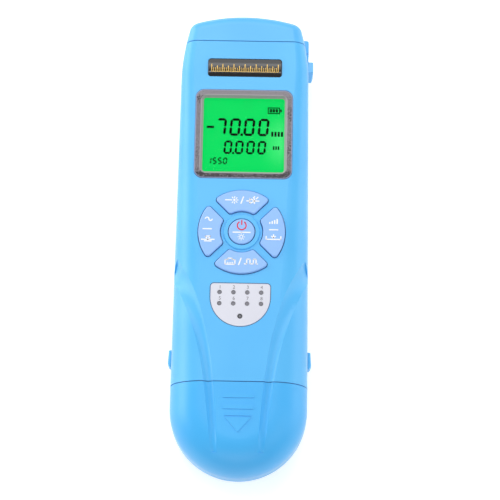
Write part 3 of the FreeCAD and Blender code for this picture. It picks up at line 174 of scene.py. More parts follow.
class Bench:
    """The node tree of one material, with the few moves that build it."""

    def __init__(self, name: str) -> None:
        """Start an empty material.

        Args:
            name: The material's name.
        """
        self.material = bpy.data.materials.new(name)
        self.material.use_nodes = True
        self.tree = self.material.node_tree
        self.tree.nodes.clear()
        self.output = self.node("ShaderNodeOutputMaterial")
        self.place = self.node("ShaderNodeTexCoord").outputs["Object"]

    def node(
        self, kind: str, settings: Inputs | None = None, sockets: Inputs | None = None
    ) -> bpy.types.Node:
        """Any node, with its settings first and then its sockets.

        Args:
            kind: Blender's name of the node type.
            settings: Attributes of the node, such as its operation.
            sockets: Values or links for its inputs, by name or by number.

        Returns:
            The new node.
        """
        made = self.tree.nodes.new(kind)
        for key, value in (settings or {}).items():
            setattr(made, key, value)
        for key, value in (sockets or {}).items():
            self.plug(made.inputs[key], value)
        return made

    def plug(self, socket: Socket, value: Any) -> None:
        """Set a socket to a value, or link it.

        Args:
            socket: The input to fill.
            value: A number, a colour, a point, a Wire or a socket.
        """
        if isinstance(value, Wire):
            value = value.socket
        if isinstance(value, Socket):
            self.tree.links.new(value, socket)
        else:
            socket.default_value = value

    def math(self, operation: str, *values: Any) -> Wire:
        """Result of a Math node on some values, taken in order."""
        made = self.node("ShaderNodeMath", {"operation": operation}, dict(enumerate(values)))
        return Wire(self, made.outputs[0])

    def vector(self, operation: str, *values: Any) -> Socket:
        """Vector that a Vector Math node makes of some values, taken in order."""
        made = self.node("ShaderNodeVectorMath", {"operation": operation}, dict(enumerate(values)))
        return made.outputs["Vector"]

    def axes(self, centre: Point = (0, 0, 0)) -> tuple[Wire, Wire, Wire]:
        """The three distances from a centre, along X, Y and Z.

        Args:
            centre: The point that counts as zero, in metres.

        Returns:
            X, Y and Z as Wires.
        """
        moved = self.vector("SUBTRACT", self.place, centre)
        split = self.node("ShaderNodeSeparateXYZ", sockets={"Vector": moved})
        return tuple(Wire(self, split.outputs[axis]) for axis in "XYZ")

    def stretched(self, scale: Point) -> Socket:
        """Object place with each axis multiplied by its own number."""
        return self.vector("MULTIPLY", self.place, scale)

    def noise(
        self, grain: float, detail: float = 3.0, rough: float = 0.5, place: Any = None
    ) -> Wire:
        """Noise from 0 to 1.

        Args:
            grain: Size of its spots, in metres.
            detail: Number of finer layers.
            rough: Strength of the finer layers.
            place: Where it is read, if not at the object's own place.

        Returns:
            The noise value.
        """
        sockets = {
            "Vector": self.place if place is None else place,
            "Scale": 1 / grain,
            "Detail": detail,
            "Roughness": rough,
        }
        made = self.node("ShaderNodeTexNoise", {"noise_dimensions": "3D"}, sockets)
        return Wire(self, made.outputs["Fac"])

    def cells(self, size: float) -> Wire:
        """Random tone of each cell, for cells of a size in metres."""
        made = self.node("ShaderNodeTexVoronoi", sockets={"Vector": self.place, "Scale": 1 / size})
        return Wire(self, made.outputs["Color"])

    def blend(self, share: Any, first: Any, second: Any) -> Socket:
        """Colour between two colours.

        Args:
            share: 0 for the first colour, 1 for the second.
            first: A colour or a colour socket.
            second: A colour or a colour socket.

        Returns:
            The mixed colour socket.
        """
        settings = {"data_type": "RGBA", "clamp_factor": True}
        made = self.node("ShaderNodeMix", settings, {0: share, 6: first, 7: second})
        return made.outputs[2]

    def past_edge(self, centre: Point, half: Spot, corner: float) -> Wire:
        """Distance past the outline of a rectangle with rounded corners, seen from above.

        Args:
            centre: The rectangle's middle.
            half: Half its width and height.
            corner: Radius of its corners.

        Returns:
            The distance in metres, below zero inside.
        """
        x, y, _ = self.axes(centre)
        across = self.math("MAXIMUM", abs(x) - (half[0] - corner), 0.0)
        along = self.math("MAXIMUM", abs(y) - (half[1] - corner), 0.0)
        return (across**2 + along**2) ** 0.5 - corner

    def relief(self, height: Wire, depth: float, strength: float = 1.0) -> Socket:
        """Normal bumped by a height pattern from 0 to 1, with the depth of 1 in metres."""
        sockets = {"Height": height, "Distance": depth, "Strength": strength}
        return self.node("ShaderNodeBump", sockets=sockets).outputs["Normal"]

    def coat_with(self, sockets: Inputs) -> None:
        """Close the material with one Principled shader, given its values and links."""
        shader = self.node("ShaderNodeBsdfPrincipled", sockets=sockets)
        self.plug(self.output.inputs["Surface"], shader.outputs[0])


# -------------------------------------------------------------------- finishes


@dataclass(frozen=True)
class Finish:
    """A surface finish, made a material under its own name."""

    name: str

    def sockets(self, bench: Bench) -> Inputs:
        """Shader inputs of this finish, which each kind of finish gives for itself."""
        raise NotImplementedError

    def material(self) -> bpy.types.Material:
        """Material with this finish.

        Returns:
            The material, ready for a piece.
        """
        bench = Bench(self.name)
        bench.coat_with(self.sockets(bench))
        return bench.material


@dataclass(frozen=True)
class MouldedPlastic(Finish):
    """Opaque moulded plastic: fine satin texture, faint flow of pigment and small scuffs."""

    colour: Colour
    deep: Colour
    roughness: float = 0.4
    grain: float = 0.35 * MM
    depth: float = 0.006 * MM
    specular: float = 0.5
    coat: float = 0.0
    sheen: float = 0.0
    flow_size: float = 24 * MM
    scuff_size: float = 3 * MM

    def sockets(self, bench: Bench) -> Inputs:
        """Shader inputs of this finish.

        Args:
            bench: The material that is being made.

        Returns:
            Values and links by socket name.
        """
        flow = bench.noise(self.flow_size, 2.0, 0.45)
        texture = bench.noise(self.grain, 2.0, 0.6)
        scuffs = bench.noise(self.scuff_size, 5.0, 0.7, bench.stretched((1.0, 0.35, 1.0)))
        worn = scuffs.fade(0.6, 0.8)
        colour = bench.blend(flow.fade(0.3, 0.75) * 0.6 + texture * 0.12, self.colour, self.deep)
        rough = self.roughness + (texture - 0.5) * 0.1 + worn * 0.06 + (flow - 0.5) * 0.05
        return {
            "Base Color": colour,
            "Roughness": rough,
            "Specular IOR Level": self.specular,
            "Coat Weight": self.coat,
            "Coat Roughness": 0.12,
            "Sheen Weight": self.sheen,
            "Sheen Roughness": 0.3,
            "Normal": bench.relief(texture, self.depth, 0.6),
        }


@dataclass(frozen=True)
class SpeckledTrim(Finish):
    """Grey trim round a display: dark speckled face, pale slope inside, painted light on the band
    above the window, painted shade on the band below it, and a painted highlight along the outer
    rim.
    """

    face: Colour
    flake: Colour
    soot: Colour
    slope: Colour
    # The rim colour is a painted highlight along the trim's outer edge.
    rim: Colour
    centre: Point
    inner: Spot
    outer: Spot
    inner_corner: float = 1.4 * MM
    outer_corner: float = 3.3 * MM
    slope_width: float = 1.1 * MM
    slope_fade: Spot = (1.2 * MM, 0.85 * MM)
    rim_highlight_fade: Spot = (-0.55 * MM, -0.15 * MM)
    speckle_size: float = 0.55 * MM
    flake_size: float = 0.3 * MM
    cloud_size: float = 7 * MM
    pitting: float = 0.02 * MM

    def sockets(self, bench: Bench) -> Inputs:
        """Shader inputs of this finish.

        Args:
            bench: The material that is being made.

        Returns:
            Values and links by socket name.
        """
        inside = bench.past_edge(self.centre, self.inner, self.inner_corner)
        outside = bench.past_edge(self.centre, self.outer, self.outer_corner)
        sloped = inside.fade(*self.slope_fade)
        # Painted highlight: a thin pale band along the outer edge, where light glints off it.
        painted_rim_highlight = outside.fade(*self.rim_highlight_fade)
        # Painted light on the band above the window and painted shade on the band below it, added to
        # the speckle and the cloud.
        _, y, _ = bench.axes(self.centre)
        painted_top_light = y.fade(self.inner[1], self.inner[1] + self.slope_width)
        painted_bottom_shade = y.fade(-self.inner[1], -self.inner[1] - self.slope_width)
        tone = bench.noise(self.speckle_size, 4.0, 0.7)
        cloud = bench.noise(self.cloud_size, 2.0, 0.5)
        flakes = bench.cells(self.flake_size)
        speckled = (tone + painted_top_light * 0.12 - painted_bottom_shade * 0.07).fade(0.42, 0.6)
        clouded = (cloud + painted_top_light * 0.3 - painted_bottom_shade * 0.1).fade(0.4, 0.7)
        colour = bench.blend(speckled, self.soot, self.flake)
        colour = bench.blend(clouded * 0.7, colour, self.face)
        colour = bench.blend(sloped * (0.75 + tone * 0.3), colour, self.slope)
        colour = bench.blend(painted_rim_highlight * (0.5 + tone * 0.5), colour, self.rim)
        return {
            "Base Color": colour,
            "Metallic": (1 - sloped) * 0.25,
            "Roughness": 0.4 + tone * 0.2,
            "Normal": bench.relief(flakes + tone, self.pitting, 0.5),
        }


@dataclass(frozen=True)
class Metal(Finish):
    """Bare or plated metal with fine tool marks along an axis and a little tarnish."""

    colour: Colour
    tarnish: Colour
    roughness: float = 0.26
    marks: Point = (1.0, 0.04, 1.0)
    grain: float = 0.12 * MM
    film_size: float = 2.2 * MM
    mark_depth: float = 0.004 * MM

    def sockets(self, bench: Bench) -> Inputs:
        """Shader inputs of this finish.

        Args:
            bench: The material that is being made.

        Returns:
            Values and links by socket name.
        """
        lines = bench.noise(self.grain, 3.0, 0.6, bench.stretched(self.marks))
        film = bench.noise(self.film_size, 4.0, 0.6)
        colour = bench.blend(film.fade(0.45, 0.8) * 0.55, self.colour, self.tarnish)
        return {
            "Base Color": colour,
            "Metallic": 1.0,
            "Roughness": self.roughness + (lines - 0.5) * 0.16 + film * 0.08,
            "Normal": bench.relief(lines, self.mark_depth, 0.5),
        }


@dataclass(frozen=True)
class ClearPlastic(Finish):
    """Clear plastic with a trace of colour, faint smears and fine wipe marks."""

    colour: Colour
    roughness: float = 0.03
    ior: float = 1.47
    smear: float = 0.06
    film_size: float = 7 * MM
    wipe_size: float = 0.5 * MM
    wipe_depth: float = 0.001 * MM

    def sockets(self, bench: Bench) -> Inputs:
        """Shader inputs of this finish.

        Args:
            bench: The material that is being made.

        Returns:
            Values and links by socket name.
        """
        film = bench.noise(self.film_size, 3.0, 0.55)
        wipes = bench.noise(self.wipe_size, 2.0, 0.5, bench.stretched((0.12, 1.0, 1.0)))
        pale = tuple(min(1.0, part * 1.05) for part in self.colour[:3]) + (1.0,)
        colour = bench.blend(film, self.colour, pale)
        return {
            "Base Color": colour,
            "Roughness": self.roughness + film.fade(0.5, 0.8) * self.smear + wipes * 0.015,
            "Transmission Weight": 1.0,
            "IOR": self.ior,
            "Normal": bench.relief(wipes, self.wipe_depth, 0.3),
        }


@dataclass(frozen=True)
class ThinWindow(Finish):
    """Thin clear window: almost nothing but a faint smoke tint, a soft gloss and a few smears."""

    colour: Colour
    body: float = 0.02
    smear: float = 0.02
    film_size: float = 8 * MM
    wipe_size: float = 0.5 * MM

    def sockets(self, bench: Bench) -> Inputs:
        """Shader inputs of this finish.

        Args:
            bench: The material that is being made.

        Returns:
            Values and links by socket name.
        """
        film = bench.noise(self.film_size, 3.0, 0.55)
        wipes = bench.noise(self.wipe_size, 2.0, 0.5, bench.stretched((0.12, 1.0, 1.0)))
        pale = tuple(min(1.0, part * 1.6) for part in self.colour[:3]) + (1.0,)
        return {
            "Base Color": bench.blend(film, self.colour, pale),
            "Roughness": 0.06 + film.fade(0.5, 0.8) * 0.08 + wipes * 0.02,
            "Alpha": self.body + film.fade(0.45, 0.8) * self.smear,
        }


@dataclass(frozen=True)
class LitGlass(Finish):
    """Display glass lit from behind, with a painted highlight towards its right about the middle."""

    colour: Colour
    bright: Colour
    dim: Colour
    centre: Point
    half: Spot
    glow: float = 1.02
    unlit: Colour = paint(2, 60, 26)
    unlit_pale: Colour = paint(3, 70, 30)
    cloud_size: float = 9 * MM
    mesh_size: float = 0.22 * MM

    def sockets(self, bench: Bench) -> Inputs:
        """Shader inputs of this finish.

        Args:
            bench: The material that is being made.

        Returns:
            Values and links by socket name.
        """
        x, y, _ = bench.axes(self.centre)
        # Painted highlight: towards the right and about the middle the glass glows a paler green,
        # for a reflection in the window.
        right = (x / self.half[0]).fade(0.35, 1.0)
        middle = abs(y / self.half[1] + 0.15).fade(0.9, 0.0)
        cloud = bench.noise(self.cloud_size, 2.0, 0.5)
        mesh = bench.noise(self.mesh_size, 1.0, 0.5)
        edge = bench.math("MAXIMUM", abs(x / self.half[0]), abs(y / self.half[1])).fade(0.9, 1.02)
        light = bench.blend(right * middle * 0.8, self.colour, self.bright)
        light = bench.blend(cloud * 0.3 + edge * 0.35 + mesh * 0.06, light, self.dim)
        return {
            "Base Color": bench.blend(cloud, self.unlit, self.unlit_pale),
            "Roughness": 0.4 + mesh * 0.1,
            "Specular IOR Level": 0.02,
            "Emission Color": light,
            "Emission Strength": self.glow,
        }


@dataclass(frozen=True)
class PrintedInk(Finish):
    """Thin printed ink with an uneven, slightly broken film."""

    colour: Colour
    thin: Colour
    roughness: float = 0.5
    metallic: float = 0.0
    specular: float = 0.5
    film_size: float = 0.3 * MM
    film_depth: float = 0.004 * MM

    def sockets(self, bench: Bench) -> Inputs:
        """Shader inputs of this finish.

        Args:
            bench: The material that is being made.

        Returns:
            Values and links by socket name.
        """
        film = bench.noise(self.film_size, 4.0, 0.65)
        colour = bench.blend(film.fade(0.5, 0.85) * 0.5, self.colour, self.thin)
        return {
            "Base Color": colour,
            "Metallic": self.metallic,
            "Roughness": self.roughness + (film - 0.5) * 0.2,
            "Specular IOR Level": self.specular,
            "Normal": bench.relief(film, self.film_depth, 0.4),
        }


@dataclass(frozen=True)
class Laminate(Finish):
    """Printed circuit laminate: solder mask over fine copper lines, with bare round pads, each with
    a dark spot painted as the shade inside its drilled bore.
    """

    mask: Colour
    line: Colour
    pad: Colour
    pitch: float = 1.27 * MM
    line_half: float = 0.17 * MM
    pad_radius: float = 0.43 * MM
    hole_radius: float = 0.18 * MM
    soft: float = 0.03 * MM
    hole_soft: float = 0.02 * MM
    stagger_size: float = 6 * MM
    line_patch: float = 9 * MM
    pad_patch: float = 11 * MM
    weave_size: float = 0.4 * MM
    copper_height: float = 0.02 * MM
    # Painted shade: a near-black spot in each pad for the shadow inside its drilled bore.
    painted_hole_shade: Colour = paint(20, 22, 20)

    def sockets(self, bench: Bench) -> Inputs:
        """Shader inputs of this finish.

        Args:
            bench: The material that is being made.

        Returns:
            Values and links by socket name.
        """
        x, y, _ = bench.axes()
        stagger = bench.noise(self.stagger_size, 0.0, 0.0)
        run = abs((x + stagger.fade(0.48, 0.52) * self.pitch * 2.5).wrap(self.pitch))
        lined = run.fade(self.line_half + self.soft, self.line_half - self.soft)
        copper = lined * bench.noise(self.line_patch, 1.0, 0.4).fade(0.48, 0.5)
        reach = (x.wrap(self.pitch * 2) ** 2 + y.wrap(self.pitch * 3) ** 2) ** 0.5
        place = bench.noise(self.pad_patch, 0.0, 0.0).fade(0.53, 0.55)
        pads = reach.fade(self.pad_radius + self.soft, self.pad_radius - self.soft) * place
        # The dark spots are painted shade for the bores in the pads.
        painted_hole_mask = reach.fade(self.hole_radius + self.hole_soft, self.hole_radius - self.hole_soft)
        painted_hole_mask = painted_hole_mask * place
        weave = bench.noise(self.weave_size, 2.0, 0.5)
        colour = bench.blend(copper, self.mask, self.line)
        colour = bench.blend(pads, colour, self.pad)
        colour = bench.blend(painted_hole_mask, colour, self.painted_hole_shade)
        return {
            "Base Color": colour,
            "Metallic": (pads - painted_hole_mask) * 0.9,
            "Roughness": 0.3 + weave * 0.12 - pads * 0.05,
            "Normal": bench.relief(copper + pads + weave * 0.3, self.copper_height, 0.6),
        }


@dataclass(frozen=True)
class CellWrap(Finish):
    """A battery cell's printed sleeve between bare metal ends, with a coloured band."""

    sleeve: Colour
    band: Colour
    steel: Colour
    low: float
    high: float
    rim: float = 1.1 * MM
    band_share: float = 0.28
    soft: float = 0.08 * MM
    band_soft: float = 0.1 * MM
    film_size: float = 1.4 * MM
    brush_size: float = 0.15 * MM
    brush_depth: float = 0.003 * MM
    haze: Colour = paint(90, 92, 96)

    def sockets(self, bench: Bench) -> Inputs:
        """Shader inputs of this finish.

        Args:
            bench: The material that is being made.

        Returns:
            Values and links by socket name.
        """
        _, y, _ = bench.axes()
        band_edge = self.high - (self.high - self.low) * self.band_share
        banded = y.fade(band_edge - self.band_soft, band_edge + self.band_soft)
        head_end, foot_end = self.high - self.rim, self.low + self.rim * 0.5
        head = y.fade(head_end - self.soft, head_end + self.soft)
        foot = y.fade(foot_end + self.soft, foot_end - self.soft)
        bare = bench.math("MAXIMUM", head, foot)
        film = bench.noise(self.film_size, 4.0, 0.6)
        fine = bench.noise(self.brush_size, 2.0, 0.5, bench.stretched((1.0, 0.06, 1.0)))
        colour = bench.blend(banded, self.sleeve, self.band)
        colour = bench.blend(bare, colour, self.steel)
        return {
            "Base Color": bench.blend(film * 0.15, colour, self.haze),
            "Metallic": bare * 0.95,
            "Roughness": 0.26 + film * 0.12 + bare * 0.05,
            "Coat Weight": (1 - bare) * 0.5,
            "Normal": bench.relief(fine, self.brush_depth, 0.4),
        }


@dataclass(frozen=True)
class LampLens(Finish):
    """Small lamp seen through its lens: a pale centre in a grey ring, at each place of a grid."""

    ring: Colour
    heart: Colour
    radius: float
    pitch: float
    rows: tuple[float, ...]
    speck_size: float = 0.35 * MM
    speck_depth: float = 0.008 * MM

    def sockets(self, bench: Bench) -> Inputs:
        """Shader inputs of this finish.

        Args:
            bench: The material that is being made.

        Returns:
            Values and links by socket name.
        """
        x, y, _ = bench.axes()
        across = (x + self.pitch / 2).wrap(self.pitch) if self.pitch else x
        near = abs(y - self.rows[0])
        for row in self.rows[1:]:
            near = bench.math("MINIMUM", near, abs(y - row))
        away = (across**2 + near**2) ** 0.5
        speck = bench.noise(self.speck_size, 3.0, 0.6)
        heart = (away + (speck - 0.5) * 0.3 * MM).fade(self.radius * 0.75, self.radius * 0.2)
        return {
            "Base Color": bench.blend(heart, self.ring, self.heart),
            "Roughness": 0.18 + speck * 0.12,
            "Coat Weight": 0.4 + speck * 0.2,
            "Normal": bench.relief(speck, self.speck_depth, 0.4),
        }


CONTACT_GOLD = Metal("contact_gold", paint(232, 190, 92), paint(190, 140, 62), 0.2)
SPRING_STEEL = Metal("spring_steel", paint(176, 178, 184), paint(132, 128, 122), 0.3)


class Stock:
    """Every finish in use, each made a material once."""

    def __init__(self) -> None:
        """Start with no material."""
        self.made: dict[str, bpy.types.Material] = {}

    def dress(self, piece: Piece, finish: Finish) -> None:
        """Give a piece one finish all over.

        Args:
            piece: The object to dress.
            finish: Its finish, made a material the first time it is asked for.
        """
        if finish.name not in self.made:
            self.made[finish.name] = finish.material()
        if not piece.data.materials:
            piece.data.materials.append(None)
        for index in range(len(piece.data.materials)):
            piece.data.materials[index] = self.made[finish.name]


# ------------------------------------------------------------------ hand tools


def centre_of(node: str) -> Vector:
    """Middle of a CAD node's box."""
    low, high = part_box(node)
    return (low + high) / 2


class Hands:
    """Modelling by hand: primitives are added, shaped in edit mode, joined and settled."""

    weld: float = 1e-6
    end_rounding: float = 0.28
    disc_sides: int = 32
    arc_steps: int = 48
    text_scale: float = 1.38

    @staticmethod
    def let_go() -> None:
        """Select nothing."""
        bpy.ops.object.select_all(action="DESELECT")
        bpy.context.view_layer.objects.active = None

    @staticmethod
    def hold(piece: Piece) -> None:
        """Select one piece alone and make it active.

        Args:
            piece: The piece to hold.
        """
        Hands.let_go()
        piece.select_set(True)
        bpy.context.view_layer.objects.active = piece

    @staticmethod
    def edit(piece: Piece) -> None:
        """Open a piece in edit mode with all of it selected.

        Args:
            piece: The piece to edit.
        """
        Hands.hold(piece)
        bpy.ops.object.mode_set(mode="EDIT")
        bpy.ops.mesh.select_all(action="SELECT")

    @staticmethod
    def close() -> None:
        """Leave edit mode."""
        bpy.ops.object.mode_set(mode="OBJECT")

    @staticmethod
    def close_outwards() -> None:
        """Turn every face outwards and leave edit mode."""
        bpy.ops.mesh.select_all(action="SELECT")
        bpy.ops.mesh.normals_make_consistent(inside=False)
        Hands.close()

    @staticmethod
    def settle(piece: Piece) -> Piece:
        """Move a piece's place, turn and size into its mesh.

        Args:
            piece: The piece to settle.

        Returns:
            The same piece.
        """
        Hands.hold(piece)
        bpy.ops.object.transform_apply(location=True, rotation=True, scale=True)
        return piece

    @staticmethod
    def primitive(add: Callable[..., Any], stretch: Point = (1, 1, 1), **settings: Any) -> Piece:
        """A fresh primitive at its place.

        Args:
            add: Blender's operator that adds it.
            stretch: How many times its own size it becomes along each of its axes.
            settings: The operator's settings.

        Returns:
            The settled primitive.
        """
        Hands.let_go()
        add(**settings)
        piece = bpy.context.object
        piece.scale = stretch
        return Hands.settle(piece)

    @staticmethod
    def pick(piece: Piece, wanted: Callable[[Vector], bool]) -> None:
        """Select, in edit mode, the points that lie where they are wanted.

        Args:
            piece: The piece that is being edited.
            wanted: Says from a point's own place whether it is taken.
        """
        bpy.ops.mesh.select_all(action="DESELECT")
        Hands.close()
        for vertex in piece.data.vertices:
            vertex.select = wanted(vertex.co)
        bpy.ops.object.mode_set(mode="EDIT")

    @staticmethod
    def raise_flat(piece: Piece, height: float) -> Piece:
        """Extrude a flat piece upwards into a closed solid.

        Args:
            piece: A flat piece that lies level.
            height: How tall it becomes.

        Returns:
            The piece.
        """
        Hands.edit(piece)
        bpy.ops.mesh.extrude_region_move(TRANSFORM_OT_translate={"value": (0, 0, height)})
        Hands.close_outwards()
        return piece

    @staticmethod
    def bar(place: Point, size: Point, turn: float) -> Piece:
        """Flat bar with softened ends.

        Args:
            place: Middle of its underside.
            size: Its length, its width and its height.
            turn: Its direction about the upright axis, from X.

        Returns:
            The bar.
        """
        length, width, height = size
        piece = Hands.primitive(
            bpy.ops.mesh.primitive_plane_add, (length, width, 1),
            size=1, location=place, rotation=(0, 0, turn),
        )
        Hands.edit(piece)
        softened = min(length, width) * Hands.end_rounding
        bpy.ops.mesh.bevel(offset=softened, segments=3, affect="VERTICES")
        Hands.close()
        return Hands.raise_flat(piece, height)

    @staticmethod
    def disc(place: Point, radius: float, height: float) -> Piece:
        """Flat disc.

        Args:
            place: Middle of its underside.
            radius: Its radius.
            height: Its thickness upwards.

        Returns:
            The disc.
        """
        piece = Hands.primitive(
            bpy.ops.mesh.primitive_circle_add,
            vertices=Hands.disc_sides, radius=radius, fill_type="NGON", location=place,
        )
        return Hands.raise_flat(piece, height)

    @staticmethod
    def arc(place: Point, radius: float, size: Spot, start: float, sweep: float) -> Piece:
        """Part of a flat ring.

        Args:
            place: Middle of the ring, at its underside.
            radius: Middle radius.
            size: Width of the stroke and its thickness upwards.
            start: Angle of its start, from X.
            sweep: How far it turns, anticlockwise.

        Returns:
            The arc.
        """
        width, height = size
        outwards = Vector((radius * math.cos(start), radius * math.sin(start), height / 2))
        piece = Hands.primitive(
            bpy.ops.mesh.primitive_plane_add, (width, height, 1),
            size=1, location=Vector(place) + outwards, rotation=(math.pi / 2, 0, start),
        )
        Hands.edit(piece)
        steps = max(6, round(abs(sweep) / FULL_TURN * Hands.arc_steps))
        bpy.ops.mesh.spin(steps=steps, angle=-sweep, center=place, axis=(0, 0, 1))
        bpy.ops.mesh.select_all(action="SELECT")
        bpy.ops.mesh.remove_doubles(threshold=Hands.weld)
        Hands.close_outwards()
        return piece

    @staticmethod
    def numeral(body: str, place: Point, height: float, thickness: float) -> Piece:
        """A numeral as a thin solid, centred at a place.

        Args:
            body: The numeral.
            place: Middle of its underside.
            height: Height of the numeral.
            thickness: Its thickness upwards.

        Returns:
            The numeral as a mesh.
        """
        Hands.let_go()
        bpy.ops.object.text_add(location=(0, 0, 0))
        text = bpy.context.object.data
        text.body = body
        text.size = height * Hands.text_scale
        text.align_x = "CENTER"
        text.align_y = "CENTER"
        text.extrude = thickness / 2
        text.resolution_u = 4
        bpy.ops.object.convert(target="MESH")
        piece = bpy.context.object
        low = [min(vertex.co[axis] for vertex in piece.data.vertices) for axis in range(3)]
        high = [max(vertex.co[axis] for vertex in piece.data.vertices) for axis in range(3)]
        middle = Vector(((low[0] + high[0]) / 2, (low[1] + high[1]) / 2, low[2]))
        piece.location = Vector(place) - middle
        return Hands.settle(piece)

    @staticmethod
    def join(name: str, pieces: list[Piece]) -> Piece:
        """Several pieces made one, with a name.

        Args:
            name: The joined piece's name.
            pieces: What is joined.

        Returns:
            The joined piece.
        """
        Hands.hold(pieces[0])
        for piece in pieces:
            piece.select_set(True)
        if len(pieces) > 1:
            bpy.ops.object.join()
        joined = bpy.context.view_layer.objects.active
        joined.name = name
        joined.data.name = name
        return Hands.settle(joined)

    @staticmethod
    def copy_node(node: str) -> Piece:
        """A merged copy of a CAD node, left in edit mode with everything selected.

        Args:
            node: The node's name.

        Returns:
            The copy.
        """
        source = frame["nodes"][node]
        piece = bpy.data.objects.new(f"{node}_copy", source.data.copy())
        piece.data.transform(source.matrix_world)
        bpy.context.scene.collection.objects.link(piece)
        Hands.edit(piece)
        bpy.ops.mesh.remove_doubles(threshold=Hands.weld)
        return piece

    @staticmethod
    def modifier(piece: Piece, kind: str, **settings: Any) -> None:
        """Add one modifier and apply it at once.

        Args:
            piece: The piece that it changes.
            kind: Blender's name of the modifier type.
            settings: Its settings.
        """
        Hands.hold(piece)
        made = piece.modifiers.new(kind.title(), kind)
        for key, value in settings.items():
            setattr(made, key, value)
        bpy.ops.object.modifier_apply(modifier=made.name)


# ----------------------------------------------------------------- marks on keys


# The usual width of a sign's stroke, in millimetres.
STROKE = 0.42


def beside(centre: Point, spot: Spot) -> Point:
    """The place of a spot that is given in millimetres from a centre."""
    return (centre[0] + spot[0] * MM, centre[1] + spot[1] * MM, centre[2])


@dataclass(frozen=True)
class Path:
    """Straight strokes from spot to spot, in millimetres from a sign's middle."""

    spots: tuple[Spot, ...]
    width: float = STROKE
    overlap: float = 0.5

    @classmethod
    def through(cls, *spots: Spot, width: float = STROKE) -> "Path":
        """Path through some spots, taken in order."""
        return cls(spots, width)

    def lay(self, centre: Point, film: float) -> list[Piece]:
        """One bar for each leg, a little longer than the leg so that legs meet.

        Args:
            centre: The sign's middle at the ink's underside, in metres.
            film: Thickness of the ink.

        Returns:
            The bars.
        """
        bars = []
        for start, end in zip(self.spots, self.spots[1:]):
            across, along = end[0] - start[0], end[1] - start[1]
            middle = beside(centre, ((start[0] + end[0]) / 2, (start[1] + end[1]) / 2))
            length = math.hypot(across, along) + self.width * self.overlap
            size = (length * MM, self.width * MM, film)
            bars.append(Hands.bar(middle, size, math.atan2(along, across)))
        return bars


@dataclass(frozen=True)
class Curve:
    """A round stroke: its middle and radius in millimetres, its start and sweep in degrees."""

    middle: Spot
    radius: float
    start: float
    sweep: float
    width: float = STROKE

    def lay(self, centre: Point, film: float) -> list[Piece]:
        """The stroke as part of a flat ring.

        Args:
            centre: The sign's middle at the ink's underside, in metres.
            film: Thickness of the ink.

        Returns:
            The arc, alone in a list.
        """
        place, size = beside(centre, self.middle), (self.width * MM, film)
        start, sweep = math.radians(self.start), math.radians(self.sweep)
        return [Hands.arc(place, self.radius * MM, size, start, sweep)]


@dataclass(frozen=True)
class Dot:
    """A filled round spot: its middle and radius in millimetres."""

    middle: Spot
    radius: float

    def lay(self, centre: Point, film: float) -> list[Piece]:
        """The spot as a flat disc, alone in a list."""
        return [Hands.disc(beside(centre, self.middle), self.radius * MM, film)]


def rays(middle: Spot, reach: Spot, degrees: range, width: float) -> list[Path]:
    """Straight rays round a middle.

    Args:
        middle: Where they point away from.
        reach: Distance of their near and far ends from it.
        degrees: Their directions, from X.
        width: Width of each.

    Returns:
        One path for each ray.
    """
    paths = []
    for angle in map(math.radians, degrees):
        across, along = math.cos(angle), math.sin(angle)
        ends = [(middle[0] + away * across, middle[1] + away * along) for away in reach]
        paths.append(Path.through(*ends, width=width))
    return paths


